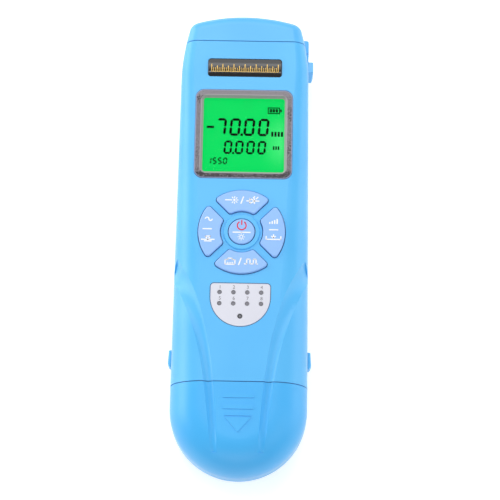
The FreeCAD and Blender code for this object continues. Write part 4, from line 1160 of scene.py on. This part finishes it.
class Mark(Enum):
    """Plain signs that stand on the keys, each as its strokes in millimetres."""

    # A bright spot with rays and one long beam.
    BURST = (
        Dot((0.9, 0.0), 0.42),
        Path.through((-2.4, 0.0), (0.0, 0.0)),
        *rays((0.9, 0.0), (0.75, 1.4), range(-126, 127, 42), STROKE * 0.7),
    )
    # A diode's arrow against its bar, on a wire, with two rays.
    LAMP = (
        Path.through((-2.3, -0.3), (-1.1, -0.3)),
        Path.through((-1.1, 0.7), (-1.1, -1.3), (0.6, -0.3), (-1.1, 0.7)),
        Path.through((0.6, 0.7), (0.6, -1.3)),
        Path.through((0.6, -0.3), (2.3, -0.3)),
        Path.through((1.2, 0.5), (1.9, 1.2)),
        Path.through((0.1, 0.8), (0.7, 1.4)),
    )
    SLASH = (Path.through((-0.45, -1.3), (0.45, 1.3)),)
    # The outline of a modular socket with its four contacts.
    SOCKET = (
        Path.through(
            (-1.8, -1.15), (-1.8, 0.6), (-0.8, 0.6), (-0.8, 1.15), (0.8, 1.15), (0.8, 0.6),
            (1.8, 0.6), (1.8, -1.15), (-1.8, -1.15),
        ),
        *(
            Path.through((x, -1.0), (x, -0.35), width=STROKE * 0.7)
            for x in (-0.96, -0.32, 0.32, 0.96)
        ),
    )
    # A square wave.
    PULSE = (
        Path.through(
            (-2.4, -0.9), (-1.5, -0.9), (-1.5, 0.9), (-0.3, 0.9), (-0.3, -0.9), (0.9, -0.9),
            (0.9, 0.9), (1.9, 0.9), (1.9, -0.9), (2.4, -0.9),
        ),
    )
    # One smooth wave.
    WAVE = (Curve((-0.62, 0.0), 0.62, 0.0, 180.0), Curve((0.62, 0.0), 0.62, 180.0, 180.0))
    LINE = (Path.through((-1.6, 0.0), (1.6, 0.0)),)
    # A pointer on a level line, with a shorter line under it.
    DATUM = (
        Path.through((-2.4, -0.25), (2.4, -0.25)),
        Path.through((-0.95, 1.0), (0.95, 1.0), (0.0, -0.25), (-0.95, 1.0)),
        Path.through((-1.3, -0.85), (1.3, -0.85)),
    )
    # Four bars, each taller than the last.
    LEVELS = tuple(
        Path.through((x, -0.75), (x, top), width=STROKE * 1.15)
        for x, top in ((-1.35, -0.25), (-0.45, 0.1), (0.45, 0.5), (1.35, 0.95))
    )
    # An arrow into a tray.
    STORE = (
        Path.through((-2.7, 0.3), (-2.7, -0.85), (2.7, -0.85), (2.7, 0.3)),
        Path.through((0.0, 1.0), (0.0, -0.2)),
        Path.through((-0.75, 0.35), (0.0, -0.35), (0.75, 0.35)),
    )
    # An open ring with an upright stroke in its gap.
    SWITCH = (
        Curve((0.0, -0.15), 1.6, 122.0, 296.0, 0.46),
        Path.through((0.0, 0.15), (0.0, 1.85), width=0.46),
    )
    # A small ring with eight rays.
    SUN = (
        Curve((0.0, 0.0), 0.55, 0.0, 360.0, STROKE * 0.55),
        *rays((0.0, 0.0), (0.85, 1.3), range(0, 360, 45), STROKE * 0.5),
    )

    def draw(self, centre: Point, film: float) -> list[Piece]:
        """The sign's strokes about a middle, not yet joined."""
        return [piece for stroke in self.value for piece in stroke.lay(centre, film)]


# --------------------------------------------------------------- sub-assemblies


@dataclass
class SubAssembly:
    """CAD nodes and new pieces that belong together, dressed from one stock."""

    stock: Stock

    def finishes(self) -> dict[str, Finish]:
        """The finish of each CAD node, which each sub-assembly gives for itself."""
        raise NotImplementedError

    def dress(self) -> None:
        """Give the CAD nodes their finishes."""
        for node, finish in self.finishes().items():
            self.stock.dress(frame["nodes"][node], finish)

    def complete(self, name: str, pieces: list[Piece], finish: Finish) -> Piece:
        """One new piece out of its parts.

        Args:
            name: The piece's name.
            pieces: What is joined into it.
            finish: Its finish.

        Returns:
            The joined and dressed piece.
        """
        piece = Hands.join(name, pieces)
        self.stock.dress(piece, finish)
        return piece


@dataclass
class Housing(SubAssembly):
    """Front and rear shell, the two end covers, their strap and the latches."""

    skin: MouldedPlastic = MouldedPlastic(
        "body_satin_blue", paint(84, 187, 247), paint(72, 179, 244), specular=0.65, sheen=0.4
    )
    cover: MouldedPlastic = MouldedPlastic(
        "head_cover_blue", paint(88, 186, 247), paint(78, 179, 244), specular=0.65, sheen=0.4
    )
    strap: MouldedPlastic = MouldedPlastic(
        "strap_anchor_blue", paint(132, 208, 252), paint(124, 202, 250), 0.44, specular=0.65,
        sheen=0.3,
    )
    # Painted shade: the foot cover is a darker copy of the shell's blue, for the shade where the
    # foot curves away from the lamps.
    foot: MouldedPlastic = MouldedPlastic(
        "foot_cover_blue_painted_shade", paint(66, 181, 247), paint(54, 173, 243), specular=0.65, sheen=0.4
    )
    latch: MouldedPlastic = MouldedPlastic(
        "latch_blue", paint(92, 188, 247), paint(80, 180, 244), 0.46, sheen=0.12
    )
    leaf_edge: float = 0.04 * MM
    leaf_keep: float = 0.45
    flat_angle: float = math.radians(0.5)
    web_cuts: int = 9
    waist_reach: float = 0.75 * MM
    waist_share: float = 0.62

    def finishes(self) -> dict[str, Finish]:
        """The finishes of the housing's nodes."""
        return {
            "front_shell": self.skin,
            "rear_shell": self.skin,
            "dust_cover": self.cover,
            "strap_anchor": self.strap,
            "foot_cover": self.foot,
            "latch_right": self.latch,
            "latch_left": self.latch,
        }

    def leaf(self, side: str, inward: float) -> Piece:
        """A latch's bowed leaf spring.

        Args:
            side: Which latch, right or left.
            inward: Direction to the housing's middle along X, 1 or -1; not used.

        Returns:
            The spring.
        """
        node = f"latch_spring_{side}"
        piece = Hands.copy_node(node)
        bpy.ops.mesh.dissolve_limited(angle_limit=self.flat_angle)
        bpy.ops.mesh.bevel(offset=self.leaf_edge, segments=2, affect="EDGES")
        Hands.close()
        leaf = self.complete(f"leaf_spring_{side}", [piece], SPRING_STEEL)
        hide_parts(node)
        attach(leaf, "housing")
        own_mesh(leaf)
        return leaf

    def web(self) -> Piece:
        """The living hinge: a strip with a thin waist between the strap anchor and the dust cover.

        Returns:
            The strip.
        """
        low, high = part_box("hinge_strip")
        anchor_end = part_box("strap_anchor")[1].y
        cover_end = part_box("dust_cover")[0].y
        waist = (anchor_end + cover_end) / 2
        piece = Hands.copy_node("hinge_strip")
        bpy.ops.mesh.subdivide(number_cuts=self.web_cuts)
        Hands.pick(piece, lambda place: abs(place.y - waist) < self.waist_reach)
        bpy.ops.transform.resize(
            value=(self.waist_share, 1, 1), center_override=((low.x + high.x) / 2, waist, low.z)
        )
        Hands.close()
        strip = self.complete("hinge_web", [piece], self.cover)
        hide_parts("hinge_strip")
        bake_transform(strip)
        return strip


@dataclass
class Display(SubAssembly):
    """Frame, window, lit glass with its segments, and the dark plate above them."""

    glass_hidden: float = 2.1 * MM
    bleed: float = 0.07 * MM
    tick_count: int = 37
    tall_every: int = 6
    broad_every: int = 3
    tick_span: float = 25.0 * MM
    tick_stroke: float = 0.17 * MM
    tick_broad: float = 0.255 * MM
    tall_tick: float = 3.0 * MM
    middle_tick: float = 2.3 * MM
    short_tick: float = 1.6 * MM
    rail_drop: float = 1.75 * MM
    rail_share: float = 0.9
    ink_film: float = 0.03 * MM
    ink_lift: float = 0.2
    gold: PrintedInk = PrintedInk(
        "plate_gold_ink", paint(226, 186, 98), paint(176, 136, 66), 0.4, 0.6
    )
    black: PrintedInk = PrintedInk(
        "segment_black", paint(4, 8, 5), paint(4, 20, 10), 0.6, 0.0, 0.02
    )

    def finishes(self) -> dict[str, Finish]:
        """The finishes of the display's nodes.

        Returns:
            Finishes by node name, with the glass and the frame sized from their own boxes.
        """
        low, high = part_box("lcd_glass")
        centre = tuple((low + high) / 2)
        seen = tuple((high[axis] - low[axis]) / 2 - self.glass_hidden for axis in (0, 1))
        frame_low, frame_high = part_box("display_frame")
        outer = tuple((frame_high[axis] - frame_low[axis]) / 2 for axis in (0, 1))
        return {
            # The frame's fifth colour is a painted highlight along its outer edge.
            "display_frame": SpeckledTrim(
                "frame_speckled_grey", paint(126, 121, 128), paint(138, 133, 138),
                paint(48, 44, 50), paint(172, 164, 170), paint(150, 164, 204), centre, seen, outer,
            ),
            "display_window": ThinWindow("window_clear", paint(18, 26, 22)),
            # The glass's second colour is a painted highlight towards its right.
            "lcd_glass": LitGlass(
                "display_glass_lit", paint(6, 221, 96), paint(90, 252, 140), paint(4, 208, 88),
                centre, seen,
            ),
            "backlight": MouldedPlastic(
                "backlight_white", paint(236, 240, 238), paint(226, 232, 230), 0.5
            ),
            "contact_strip": MouldedPlastic(
                "strip_grey_rubber", paint(120, 122, 126), paint(96, 98, 102), 0.7
            ),
            "name_plate": MouldedPlastic(
                "plate_gloss_black", paint(16, 15, 18), paint(10, 10, 12), 0.1,
                0.5 * MM, 0.0005 * MM, 0.5, 0.3,
            ),
        }

    def segments(self) -> Piece:
        """The glass's numerals and signs, each a little broader for the bleed of its crystal.

        Returns:
            The segments.
        """
        low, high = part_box("lcd_segments")
        tall = high.z - low.z
        piece = Hands.copy_node("lcd_segments")
        bpy.ops.transform.shrink_fatten(value=self.bleed)
        bpy.ops.transform.resize(
            value=(1, 1, tall / (tall + 2 * self.bleed)), center_override=tuple((low + high) / 2)
        )
        Hands.close()
        numerals = self.complete("display_segments", [piece], self.black)
        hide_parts("lcd_segments")
        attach(numerals, "housing")
        return numerals

    def plate_stroke(self, middle: Spot, size: Spot, cuts: tuple[int, int]) -> Piece:
        """Flat stroke above the name plate, divided so that it can follow the plate's dome.

        Args:
            middle: Its middle, seen from above.
            size: Its width and its height.
            cuts: Into how many parts each is divided.

        Returns:
            The stroke.
        """
        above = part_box("name_plate")[1].z + MM
        return Hands.primitive(
            bpy.ops.mesh.primitive_grid_add, (*size, 1), x_subdivisions=cuts[0],
            y_subdivisions=cuts[1], size=1, location=(*middle, above),
        )

    def tick_row(self, first: int, every: int, size: Spot) -> Piece:
        """Equal ticks that stand on the scale's rail, one modelled and the others copied.

        Args:
            first: Number of the row's first tick, from the left.
            every: How many ticks on its next one stands.
            size: Width and height of each.

        Returns:
            The row.
        """
        step = self.tick_span / (self.tick_count - 1)
        x = first * step - self.tick_span / 2
        row = self.plate_stroke((x, self.rail_y() + size[1] / 2), size, (1, 6))
        Hands.modifier(
            row, "ARRAY", count=(self.tick_count - 1 - first) // every + 1,
            use_relative_offset=False, use_constant_offset=True,
            constant_offset_displace=(every * step, 0, 0),
        )
        return row

    def rail_y(self) -> float:
        """Where the scale's rail lies along Y."""
        return centre_of("name_plate").y - self.rail_drop

    def scale_marks(self) -> Piece:
        """Gold graduated scale that follows the plate's dome.

        Returns:
            The scale.
        """
        rail = (self.tick_span + self.tick_stroke, self.tick_stroke * self.rail_share)
        tall = (self.tick_broad, self.tall_tick)
        middle = (self.tick_broad, self.middle_tick)
        short = (self.tick_stroke, self.short_tick)
        strokes = [
            self.tick_row(0, self.tall_every, tall),
            self.tick_row(self.broad_every, self.tall_every, middle),
            *(self.tick_row(first, self.broad_every, short) for first in range(1, self.broad_every)),
            self.plate_stroke((0, self.rail_y()), rail, (40, 2)),
        ]
        marks = Hands.join("plate_scale", strokes)
        Hands.modifier(
            marks, "SHRINKWRAP", target=frame["nodes"]["name_plate"], wrap_method="PROJECT",
            use_project_z=True, use_negative_direction=True, use_positive_direction=False,
            offset=self.ink_film * self.ink_lift,
        )
        Hands.modifier(marks, "SOLIDIFY", thickness=self.ink_film, offset=1.0)
        self.stock.dress(marks, self.gold)
        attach(marks, "housing")
        return marks


@dataclass
class Keypad(SubAssembly):
    """The five keys with the signs on them, and the mat under them."""

    ink_film: float = 0.035 * MM
    ink_sink: float = 0.005 * MM
    key: MouldedPlastic = MouldedPlastic(
        "key_pale_blue", paint(147, 192, 249), paint(138, 185, 247), 0.42, 0.3 * MM
    )
    mat: MouldedPlastic = MouldedPlastic(
        "mat_blue_silicone", paint(70, 158, 240), paint(60, 148, 232), 0.62
    )
    white: PrintedInk = PrintedInk("sign_white_ink", paint(252, 252, 252), paint(226, 236, 250))
    red: PrintedInk = PrintedInk("sign_red_ink", paint(222, 30, 52), paint(196, 40, 66))

    def finishes(self) -> dict[str, Finish]:
        """The finishes of the keypad's nodes."""
        keys = {f"{name}_key": self.key for name in ("power", "top", "left", "bottom", "right")}
        return {**keys, "keypad_mat": self.mat}

    def sign(
        self, name: str, key: str, ink: PrintedInk, marks: list[tuple[Mark, float, float]]
    ) -> Piece:
        """One printed sign on a key's top.

        Args:
            name: The new piece's name.
            key: The key that carries it.
            ink: Its ink.
            marks: Each mark with its place in millimetres from the key cluster's middle.

        Returns:
            The sign.
        """
        middle = centre_of("power_key")
        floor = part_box("power_key")[1].z - self.ink_sink
        strokes: list[Piece] = []
        for mark, x, y in marks:
            strokes += mark.draw(beside((middle.x, middle.y, floor), (x, y)), self.ink_film)
        piece = self.complete(name, strokes, ink)
        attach(piece, key)
        return piece

    def signs(self) -> list[Piece]:
        """All signs of the keys.

        Returns:
            The signs, the power key's two first.
        """
        on_power_key = [
            ("power_sign", self.red, [(Mark.SWITCH, 0.0, 2.4)]),
            (
                "backlight_sign", self.white,
                [(Mark.LINE, -1.6, -0.35), (Mark.LINE, 1.6, -0.35), (Mark.SUN, -0.1, -2.1)],
            ),
        ]
        on_other_keys = {
            "top": [(Mark.BURST, -3.8, 12.0), (Mark.SLASH, 0.0, 12.0), (Mark.LAMP, 3.9, 12.0)],
            "bottom": [
                (Mark.SOCKET, -4.0, -11.4), (Mark.SLASH, -0.4, -11.4), (Mark.PULSE, 3.6, -11.4),
            ],
            "left": [(Mark.WAVE, -12.1, 4.6), (Mark.LINE, -12.6, 0.8), (Mark.DATUM, -12.3, -3.0)],
            "right": [(Mark.LEVELS, 11.6, 3.9), (Mark.LINE, 11.7, 0.8), (Mark.STORE, 11.7, -2.0)],
        }
        made = [self.sign(name, "power_key", ink, marks) for name, ink, marks in on_power_key]
        for side, marks in on_other_keys.items():
            made.append(self.sign(f"{side}_sign", f"{side}_key", self.white, marks))
        return made


@dataclass
class IndicatorPanel(SubAssembly):
    """White plate with its lamps, light pipes and numerals."""

    pitch: float = 5.04 * MM
    row_inset: float = 1.15 * MM
    wire_radius: float = 0.85 * MM
    link_radius: float = 0.95 * MM
    columns: int = 4
    numeral_offset: Spot = (0.15 * MM, 1.95 * MM)
    numeral_height: float = 1.3 * MM
    numeral_film: float = 0.03 * MM
    numeral_sink: float = 0.005 * MM
    shadow_line_width: float = 0.26 * MM
    shadow_line_film: float = 0.02 * MM
    level_slack: float = 1e-6
    flat_angle: float = math.radians(0.1)
    plate: MouldedPlastic = MouldedPlastic(
        "indicator_white", paint(220, 221, 232), paint(212, 214, 226), 0.36, 0.5 * MM, 0.002 * MM
    )
    lamp: MouldedPlastic = MouldedPlastic(
        "lamp_white", paint(240, 238, 226), paint(228, 224, 204), 0.34
    )
    grey: PrintedInk = PrintedInk("numeral_grey_ink", paint(112, 112, 118), paint(160, 160, 166))
    # The line ink is a painted shadow along the plate's edge, where it meets its recess.
    line: PrintedInk = PrintedInk("edge_shadow_blue_ink", paint(64, 104, 148), paint(96, 136, 178))

    def rows(self) -> Spot:
        """Where the head row and the foot row of lamps lie along Y."""
        low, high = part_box("wire_light_pipes")
        return (high.y - self.row_inset, low.y + self.row_inset)

    def finishes(self) -> dict[str, Finish]:
        """The finishes of the panel's nodes.

        Returns:
            Finishes by node name, with the lenses' rings centred on the lamps.
        """
        return {
            "indicator_plate": self.plate,
            "wire_light_pipes": LampLens(
                "lens_wire_grey", paint(112, 112, 120), paint(120, 120, 130), self.wire_radius,
                self.pitch, self.rows(),
            ),
            "link_light_pipe": LampLens(
                "lens_link_dark", paint(52, 54, 60), paint(104, 106, 114), self.link_radius,
                0.0, (centre_of("link_light_pipe").y,),
            ),
            "wire_lights": self.lamp,
            "link_light": self.lamp,
        }

    def painted_edge_shadow(self) -> Piece:
        """Painted shadow: a fine dark line along the plate's edge, where the plate meets its recess,
        taken from the plate's own outline.

        Returns:
            The line.
        """
        piece = Hands.copy_node("indicator_plate")
        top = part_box("indicator_plate")[1].z
        Hands.pick(piece, lambda place: place.z < top - self.level_slack)
        bpy.ops.mesh.delete(type="VERT")
        bpy.ops.mesh.select_all(action="SELECT")
        bpy.ops.mesh.dissolve_limited(angle_limit=self.flat_angle)
        bpy.ops.mesh.select_all(action="SELECT")
        bpy.ops.mesh.inset(thickness=self.shadow_line_width, use_boundary=True, use_even_offset=True)
        bpy.ops.mesh.delete(type="FACE")
        edge = max(vertex.co.y for vertex in piece.data.vertices)
        Hands.pick(piece, lambda place: place.y > edge - self.level_slack)
        bpy.ops.mesh.select_linked()
        bpy.ops.mesh.select_all(action="INVERT")
        bpy.ops.mesh.delete(type="VERT")
        Hands.close()
        Hands.modifier(piece, "SOLIDIFY", thickness=self.shadow_line_film, offset=1.0)
        # The ring is a painted shadow round the plate.
        ring = self.complete("indicator_edge_shadow", [piece], self.line)
        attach(ring, "housing")
        return ring

    def numerals(self) -> Piece:
        """Numerals 1 to 8, one above each lamp.

        Returns:
            The numerals.
        """
        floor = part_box("indicator_plate")[1].z - self.numeral_sink
        right, above = self.numeral_offset
        pieces = []
        for index in range(2 * self.columns):
            row, column = divmod(index, self.columns)
            x = (column - (self.columns - 1) / 2) * self.pitch + right
            place = (x, self.rows()[row] + above, floor)
            numeral = Hands.numeral(str(index + 1), place, self.numeral_height, self.numeral_film)
            pieces.append(numeral)
        piece = self.complete("indicator_numerals", pieces, self.grey)
        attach(piece, "housing")
        return piece


@dataclass
class Ports(SubAssembly):
    """Panel at the head with the fibre port, the locator, the socket and the torch."""

    nickel: Metal = Metal("port_nickel", paint(206, 204, 198), paint(150, 142, 126), 0.22)
    brass: Metal = Metal("barrel_brass", paint(208, 170, 96), paint(150, 112, 56), 0.24)
    steel: Metal = Metal("can_steel", paint(190, 192, 196), paint(140, 138, 134), 0.28)
    panel: MouldedPlastic = MouldedPlastic(
        "panel_black", paint(34, 35, 38), paint(26, 27, 30), 0.42
    )
    jack: MouldedPlastic = MouldedPlastic(
        "jack_black", paint(28, 28, 31), paint(20, 20, 23), 0.34
    )
    ceramic: MouldedPlastic = MouldedPlastic(
        "sleeve_white_ceramic", paint(238, 236, 228), paint(228, 224, 214), 0.14,
        0.2 * MM, 0.001 * MM, 0.5, 0.4,
    )
    crest: float = 4.0 * MM
    root: float = 3.6 * MM
    pitch: float = 0.75 * MM
    barrel_length: float = 7.2 * MM
    wall_slack: float = 0.05 * MM
    ridge_foot: float = 0.06 * MM
    ridge_share: float = 0.84
    thread_steps: int = 28
    lead_in: float = 0.6
    smooth_angle: float = math.radians(30)

    def finishes(self) -> dict[str, Finish]:
        """The finishes of the ports' nodes."""
        return {
            "port_panel": self.panel,
            "network_jack": self.jack,
            "jack_contacts": CONTACT_GOLD,
            "fibre_nut": self.nickel,
            "alignment_sleeve": self.ceramic,
            "photodiode": self.steel,
            "locator_port": self.nickel,
            "laser_module": self.brass,
            "torch_led": ClearPlastic("torch_clear", paint(246, 250, 252), 0.08, 1.5),
        }

    def barrel(self, middle: Vector, start: float) -> Piece:
        """The fibre adapter with its barrel turned down to the thread's root.

        Args:
            middle: The middle of the adapter's box.
            start: Where the barrel starts along Y.

        Returns:
            The turned adapter.
        """

        def on_wall(place: Vector) -> bool:
            """Whether a point lies on the barrel's outer wall, beyond its seat."""
            away = math.hypot(place.x - middle.x, place.z - middle.z)
            return place.y > start and abs(away - self.crest) < self.wall_slack

        piece = Hands.copy_node("fibre_adapter")
        Hands.pick(piece, on_wall)
        share = self.root / self.crest
        bpy.ops.transform.resize(value=(share, 1, share), center_override=tuple(middle))
        Hands.close()
        return piece

    def ridge(self, middle: Vector, start: float) -> Piece:
        """The thread's ridge: a triangle that is screwed along the barrel.

        Args:
            middle: The middle of the adapter's box.
            start: Where the barrel starts along Y.

        Returns:
            The closed ridge, with its foot a little inside the barrel's wall.
        """
        height = self.crest - self.root + self.ridge_foot
        # An even triangle is one and a half times as tall as its corners lie from its middle.
        corner_radius = height / 1.5
        piece = Hands.primitive(
            bpy.ops.mesh.primitive_circle_add, vertices=3, radius=corner_radius,
            fill_type="NOTHING", location=(self.crest - corner_radius, 0, 0),
            rotation=(0, 0, -math.pi / 2),
        )
        Hands.edit(piece)
        even_width = corner_radius * math.sqrt(3)
        widened = self.ridge_share * self.pitch / even_width
        bpy.ops.transform.resize(value=(1, widened, 1), center_override=(0, 0, 0))
        Hands.close()
        Hands.modifier(
            piece, "SCREW", axis="Y", screw_offset=self.pitch,
            iterations=int(self.barrel_length / self.pitch - 1), steps=self.thread_steps,
            render_steps=self.thread_steps, use_merge_vertices=True, merge_threshold=1e-7,
        )
        piece.location = (middle.x, start + self.pitch * self.lead_in, middle.z)
        Hands.edit(Hands.settle(piece))
        bpy.ops.mesh.fill_holes(sides=3)
        Hands.close_outwards()
        return piece

    def threaded_adapter(self) -> Piece:
        """The fibre adapter with its outside thread between root and crest.

        Returns:
            The adapter.
        """
        middle = centre_of("fibre_adapter")
        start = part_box("fibre_adapter")[1].y - self.barrel_length
        parts = [self.barrel(middle, start), self.ridge(middle, start)]
        adapter = self.complete("threaded_adapter", parts, self.nickel)
        bpy.ops.object.shade_smooth_by_angle(angle=self.smooth_angle)
        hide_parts("fibre_adapter")
        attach(adapter, "housing")
        return adapter


@dataclass
class Electronics(SubAssembly):
    """Main board with its parts, screws, and the battery bay."""

    cell_cap: float = 1.2 * MM
    board: Laminate = Laminate(
        "board_green", paint(28, 108, 60), paint(62, 148, 86), paint(214, 184, 106)
    )
    screw: Metal = Metal("screw_steel", paint(182, 184, 188), paint(120, 120, 122), 0.3)
    chip: MouldedPlastic = MouldedPlastic(
        "chip_black", paint(34, 34, 36), paint(26, 26, 28), 0.55
    )
    can: Metal = Metal("can_bright", paint(208, 210, 214), paint(160, 160, 160), 0.25)
    tray: MouldedPlastic = MouldedPlastic(
        "tray_blue", paint(64, 160, 236), paint(54, 150, 230), 0.5
    )

    def finishes(self) -> dict[str, Finish]:
        """The finishes of the nodes inside the housing.

        Returns:
            Finishes by node name, with the cells' sleeves sized from the first cell.
        """
        low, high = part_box("cell_1")
        cell = CellWrap(
            "cell_wrapped", paint(44, 46, 52), paint(196, 150, 62), paint(204, 206, 208),
            low.y, high.y - self.cell_cap,
        )
        return {
            "main_board": self.board,
            "contact_board": self.board,
            "board_screws": self.screw,
            "case_screws": self.screw,
            "processor_chip": self.chip,
            "signal_chip": self.chip,
            "crystal": self.can,
            "buzzer": self.chip,
            "battery_sleeve": self.tray,
            "contact_carrier": self.tray,
            "contact_buttons": CONTACT_GOLD,
            "leaf_contacts": SPRING_STEEL,
            "cell_1": cell,
            "cell_2": cell,
            "cell_3": cell,
        }


# ----------------------------------------------------------------------- studio


@dataclass(frozen=True)
class SoftLamp:
    """A soft lamp that faces the object: its place, its width and height, and its watts."""

    name: str
    place: Point
    size: Spot
    power: float

    def hang(self) -> None:
        """Put the lamp into the scene."""
        light = bpy.data.lights.new(self.name, "AREA")
        light.shape = "RECTANGLE"
        light.size, light.size_y = self.size
        light.energy = self.power
        holder = bpy.data.objects.new(self.name, light)
        bpy.context.scene.collection.objects.link(holder)
        holder.location = self.place
        holder.rotation_euler = (-Vector(self.place)).to_track_quat("-Z", "Y").to_euler()


@dataclass
class Studio:
    """White floor and surroundings, soft lamps on every side, and the camera."""

    aim: Point = (3.2 * MM, -5.48 * MM, 30 * MM)
    distance: float = 0.676
    tilt: float = math.radians(16.0)
    roll: float = math.radians(1.12)
    lean: float = math.radians(0.5)
    lens: float = 133.3
    floor_size: float = 3.0
    floor_level: float = -0.1 * MM
    floor_mottle: float = 0.4
    floor_glow: float = 0.42
    sky: float = 0.41
    lamps: tuple[SoftLamp, ...] = (
        SoftLamp("lamp_key", (-0.45, 0.55, 0.95), (0.7, 0.7), 1.2),
        SoftLamp("lamp_fill", (0.75, -0.25, 0.8), (0.8, 0.8), 1.6),
        SoftLamp("lamp_head", (0.0, 0.75, 0.75), (0.9, 0.6), 2.9),
        SoftLamp("lamp_sheen", (0.0, 0.6, 1.15), (0.9, 0.45), 2.0),
        SoftLamp("lamp_strip", (0.0, 0.2, 1.2), (0.9, 0.03), 0.9),
        SoftLamp("lamp_foot", (0.0, -0.85, 0.5), (0.9, 0.5), 1.8),
        SoftLamp("lamp_left", (-0.88, 0.3, 0.24), (1.0, 0.5), 5.0),
        SoftLamp("lamp_right", (0.9, 0.2, 0.14), (1.0, 0.4), 2.1),
    )

    def build(self) -> None:
        """Set floor, world, lamps and camera."""
        self.floor()
        self.world()
        for lamp in self.lamps:
            lamp.hang()
        self.camera()
        bpy.context.scene.view_settings.view_transform = "Standard"

    def floor(self) -> None:
        """White floor that carries the object's shadow and is clear when seen from below."""
        Hands.let_go()
        bpy.ops.mesh.primitive_plane_add(size=self.floor_size, location=(0, 0, self.floor_level))
        piece = bpy.context.object
        piece.name = "studio_floor"
        bench = Bench("floor_white")
        kinds = bench.node("ShaderNodeLightPath").outputs
        mirrored = bench.math("MAXIMUM", kinds["Is Glossy Ray"], kinds["Is Transmission Ray"])
        seen = bench.math("MAXIMUM", kinds["Is Camera Ray"], mirrored)
        mottle = bench.noise(self.floor_mottle, 2.0)
        below = Wire(bench, bench.node("ShaderNodeNewGeometry").outputs["Backfacing"])
        bench.coat_with(
            {
                "Base Color": bench.blend(mottle, paint(246, 246, 246), paint(250, 250, 250)),
                "Roughness": 0.9,
                "Specular IOR Level": 0.0,
                "Emission Color": bench.blend(seen, (0, 0, 0, 1), (1, 1, 1, 1)),
                "Emission Strength": self.floor_glow,
                "Alpha": 1 - below,
            }
        )
        piece.data.materials.append(bench.material)

    def world(self) -> None:
        """Plain white surroundings."""
        world = bpy.data.worlds.new("studio_world")
        world.use_nodes = True
        ground = world.node_tree.nodes["Background"]
        ground.inputs["Color"].default_value = (1.0, 1.0, 1.0, 1.0)
        ground.inputs["Strength"].default_value = self.sky
        bpy.context.scene.world = world

    def camera(self) -> None:
        """The camera, tilted from the display's normal towards the foot."""
        data = bpy.data.cameras.new("camera")
        data.lens = self.lens
        data.sensor_width = 36.0
        data.clip_start = 0.01
        holder = bpy.data.objects.new("camera", data)
        bpy.context.scene.collection.objects.link(holder)
        leant = Matrix.Rotation(self.lean, 4, "Y") @ Matrix.Rotation(self.tilt, 4, "X")
        away = leant.to_3x3() @ Vector((0.0, 0.0, self.distance))
        turned = leant @ Matrix.Rotation(self.roll, 4, "Z")
        holder.matrix_world = Matrix.Translation(Vector(self.aim) + away) @ turned
        bpy.context.scene.camera = holder


def main() -> None:
    """Build the studio and every sub-assembly."""
    logging.basicConfig(level=logging.INFO, format="%(name)s: %(message)s")
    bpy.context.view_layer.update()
    Studio().build()
    LOG.info("studio ready")
    stock = Stock()
    housing, display, keypad = Housing(stock), Display(stock), Keypad(stock)
    indicator, ports = IndicatorPanel(stock), Ports(stock)
    for part in (housing, display, keypad, indicator, ports, Electronics(stock)):
        part.dress()
        LOG.info("dressed %s", type(part).__name__)
    pieces = [
        display.segments(), display.scale_marks(), *keypad.signs(),
        indicator.painted_edge_shadow(), indicator.numerals(),
        housing.leaf("right", -1), housing.leaf("left", 1), housing.web(), ports.threaded_adapter(),
    ]
    for piece in pieces:
        LOG.info("built %s with %d faces", piece.name, len(piece.data.polygons))
    Hands.let_go()


if __name__ == "__main__":
    main()
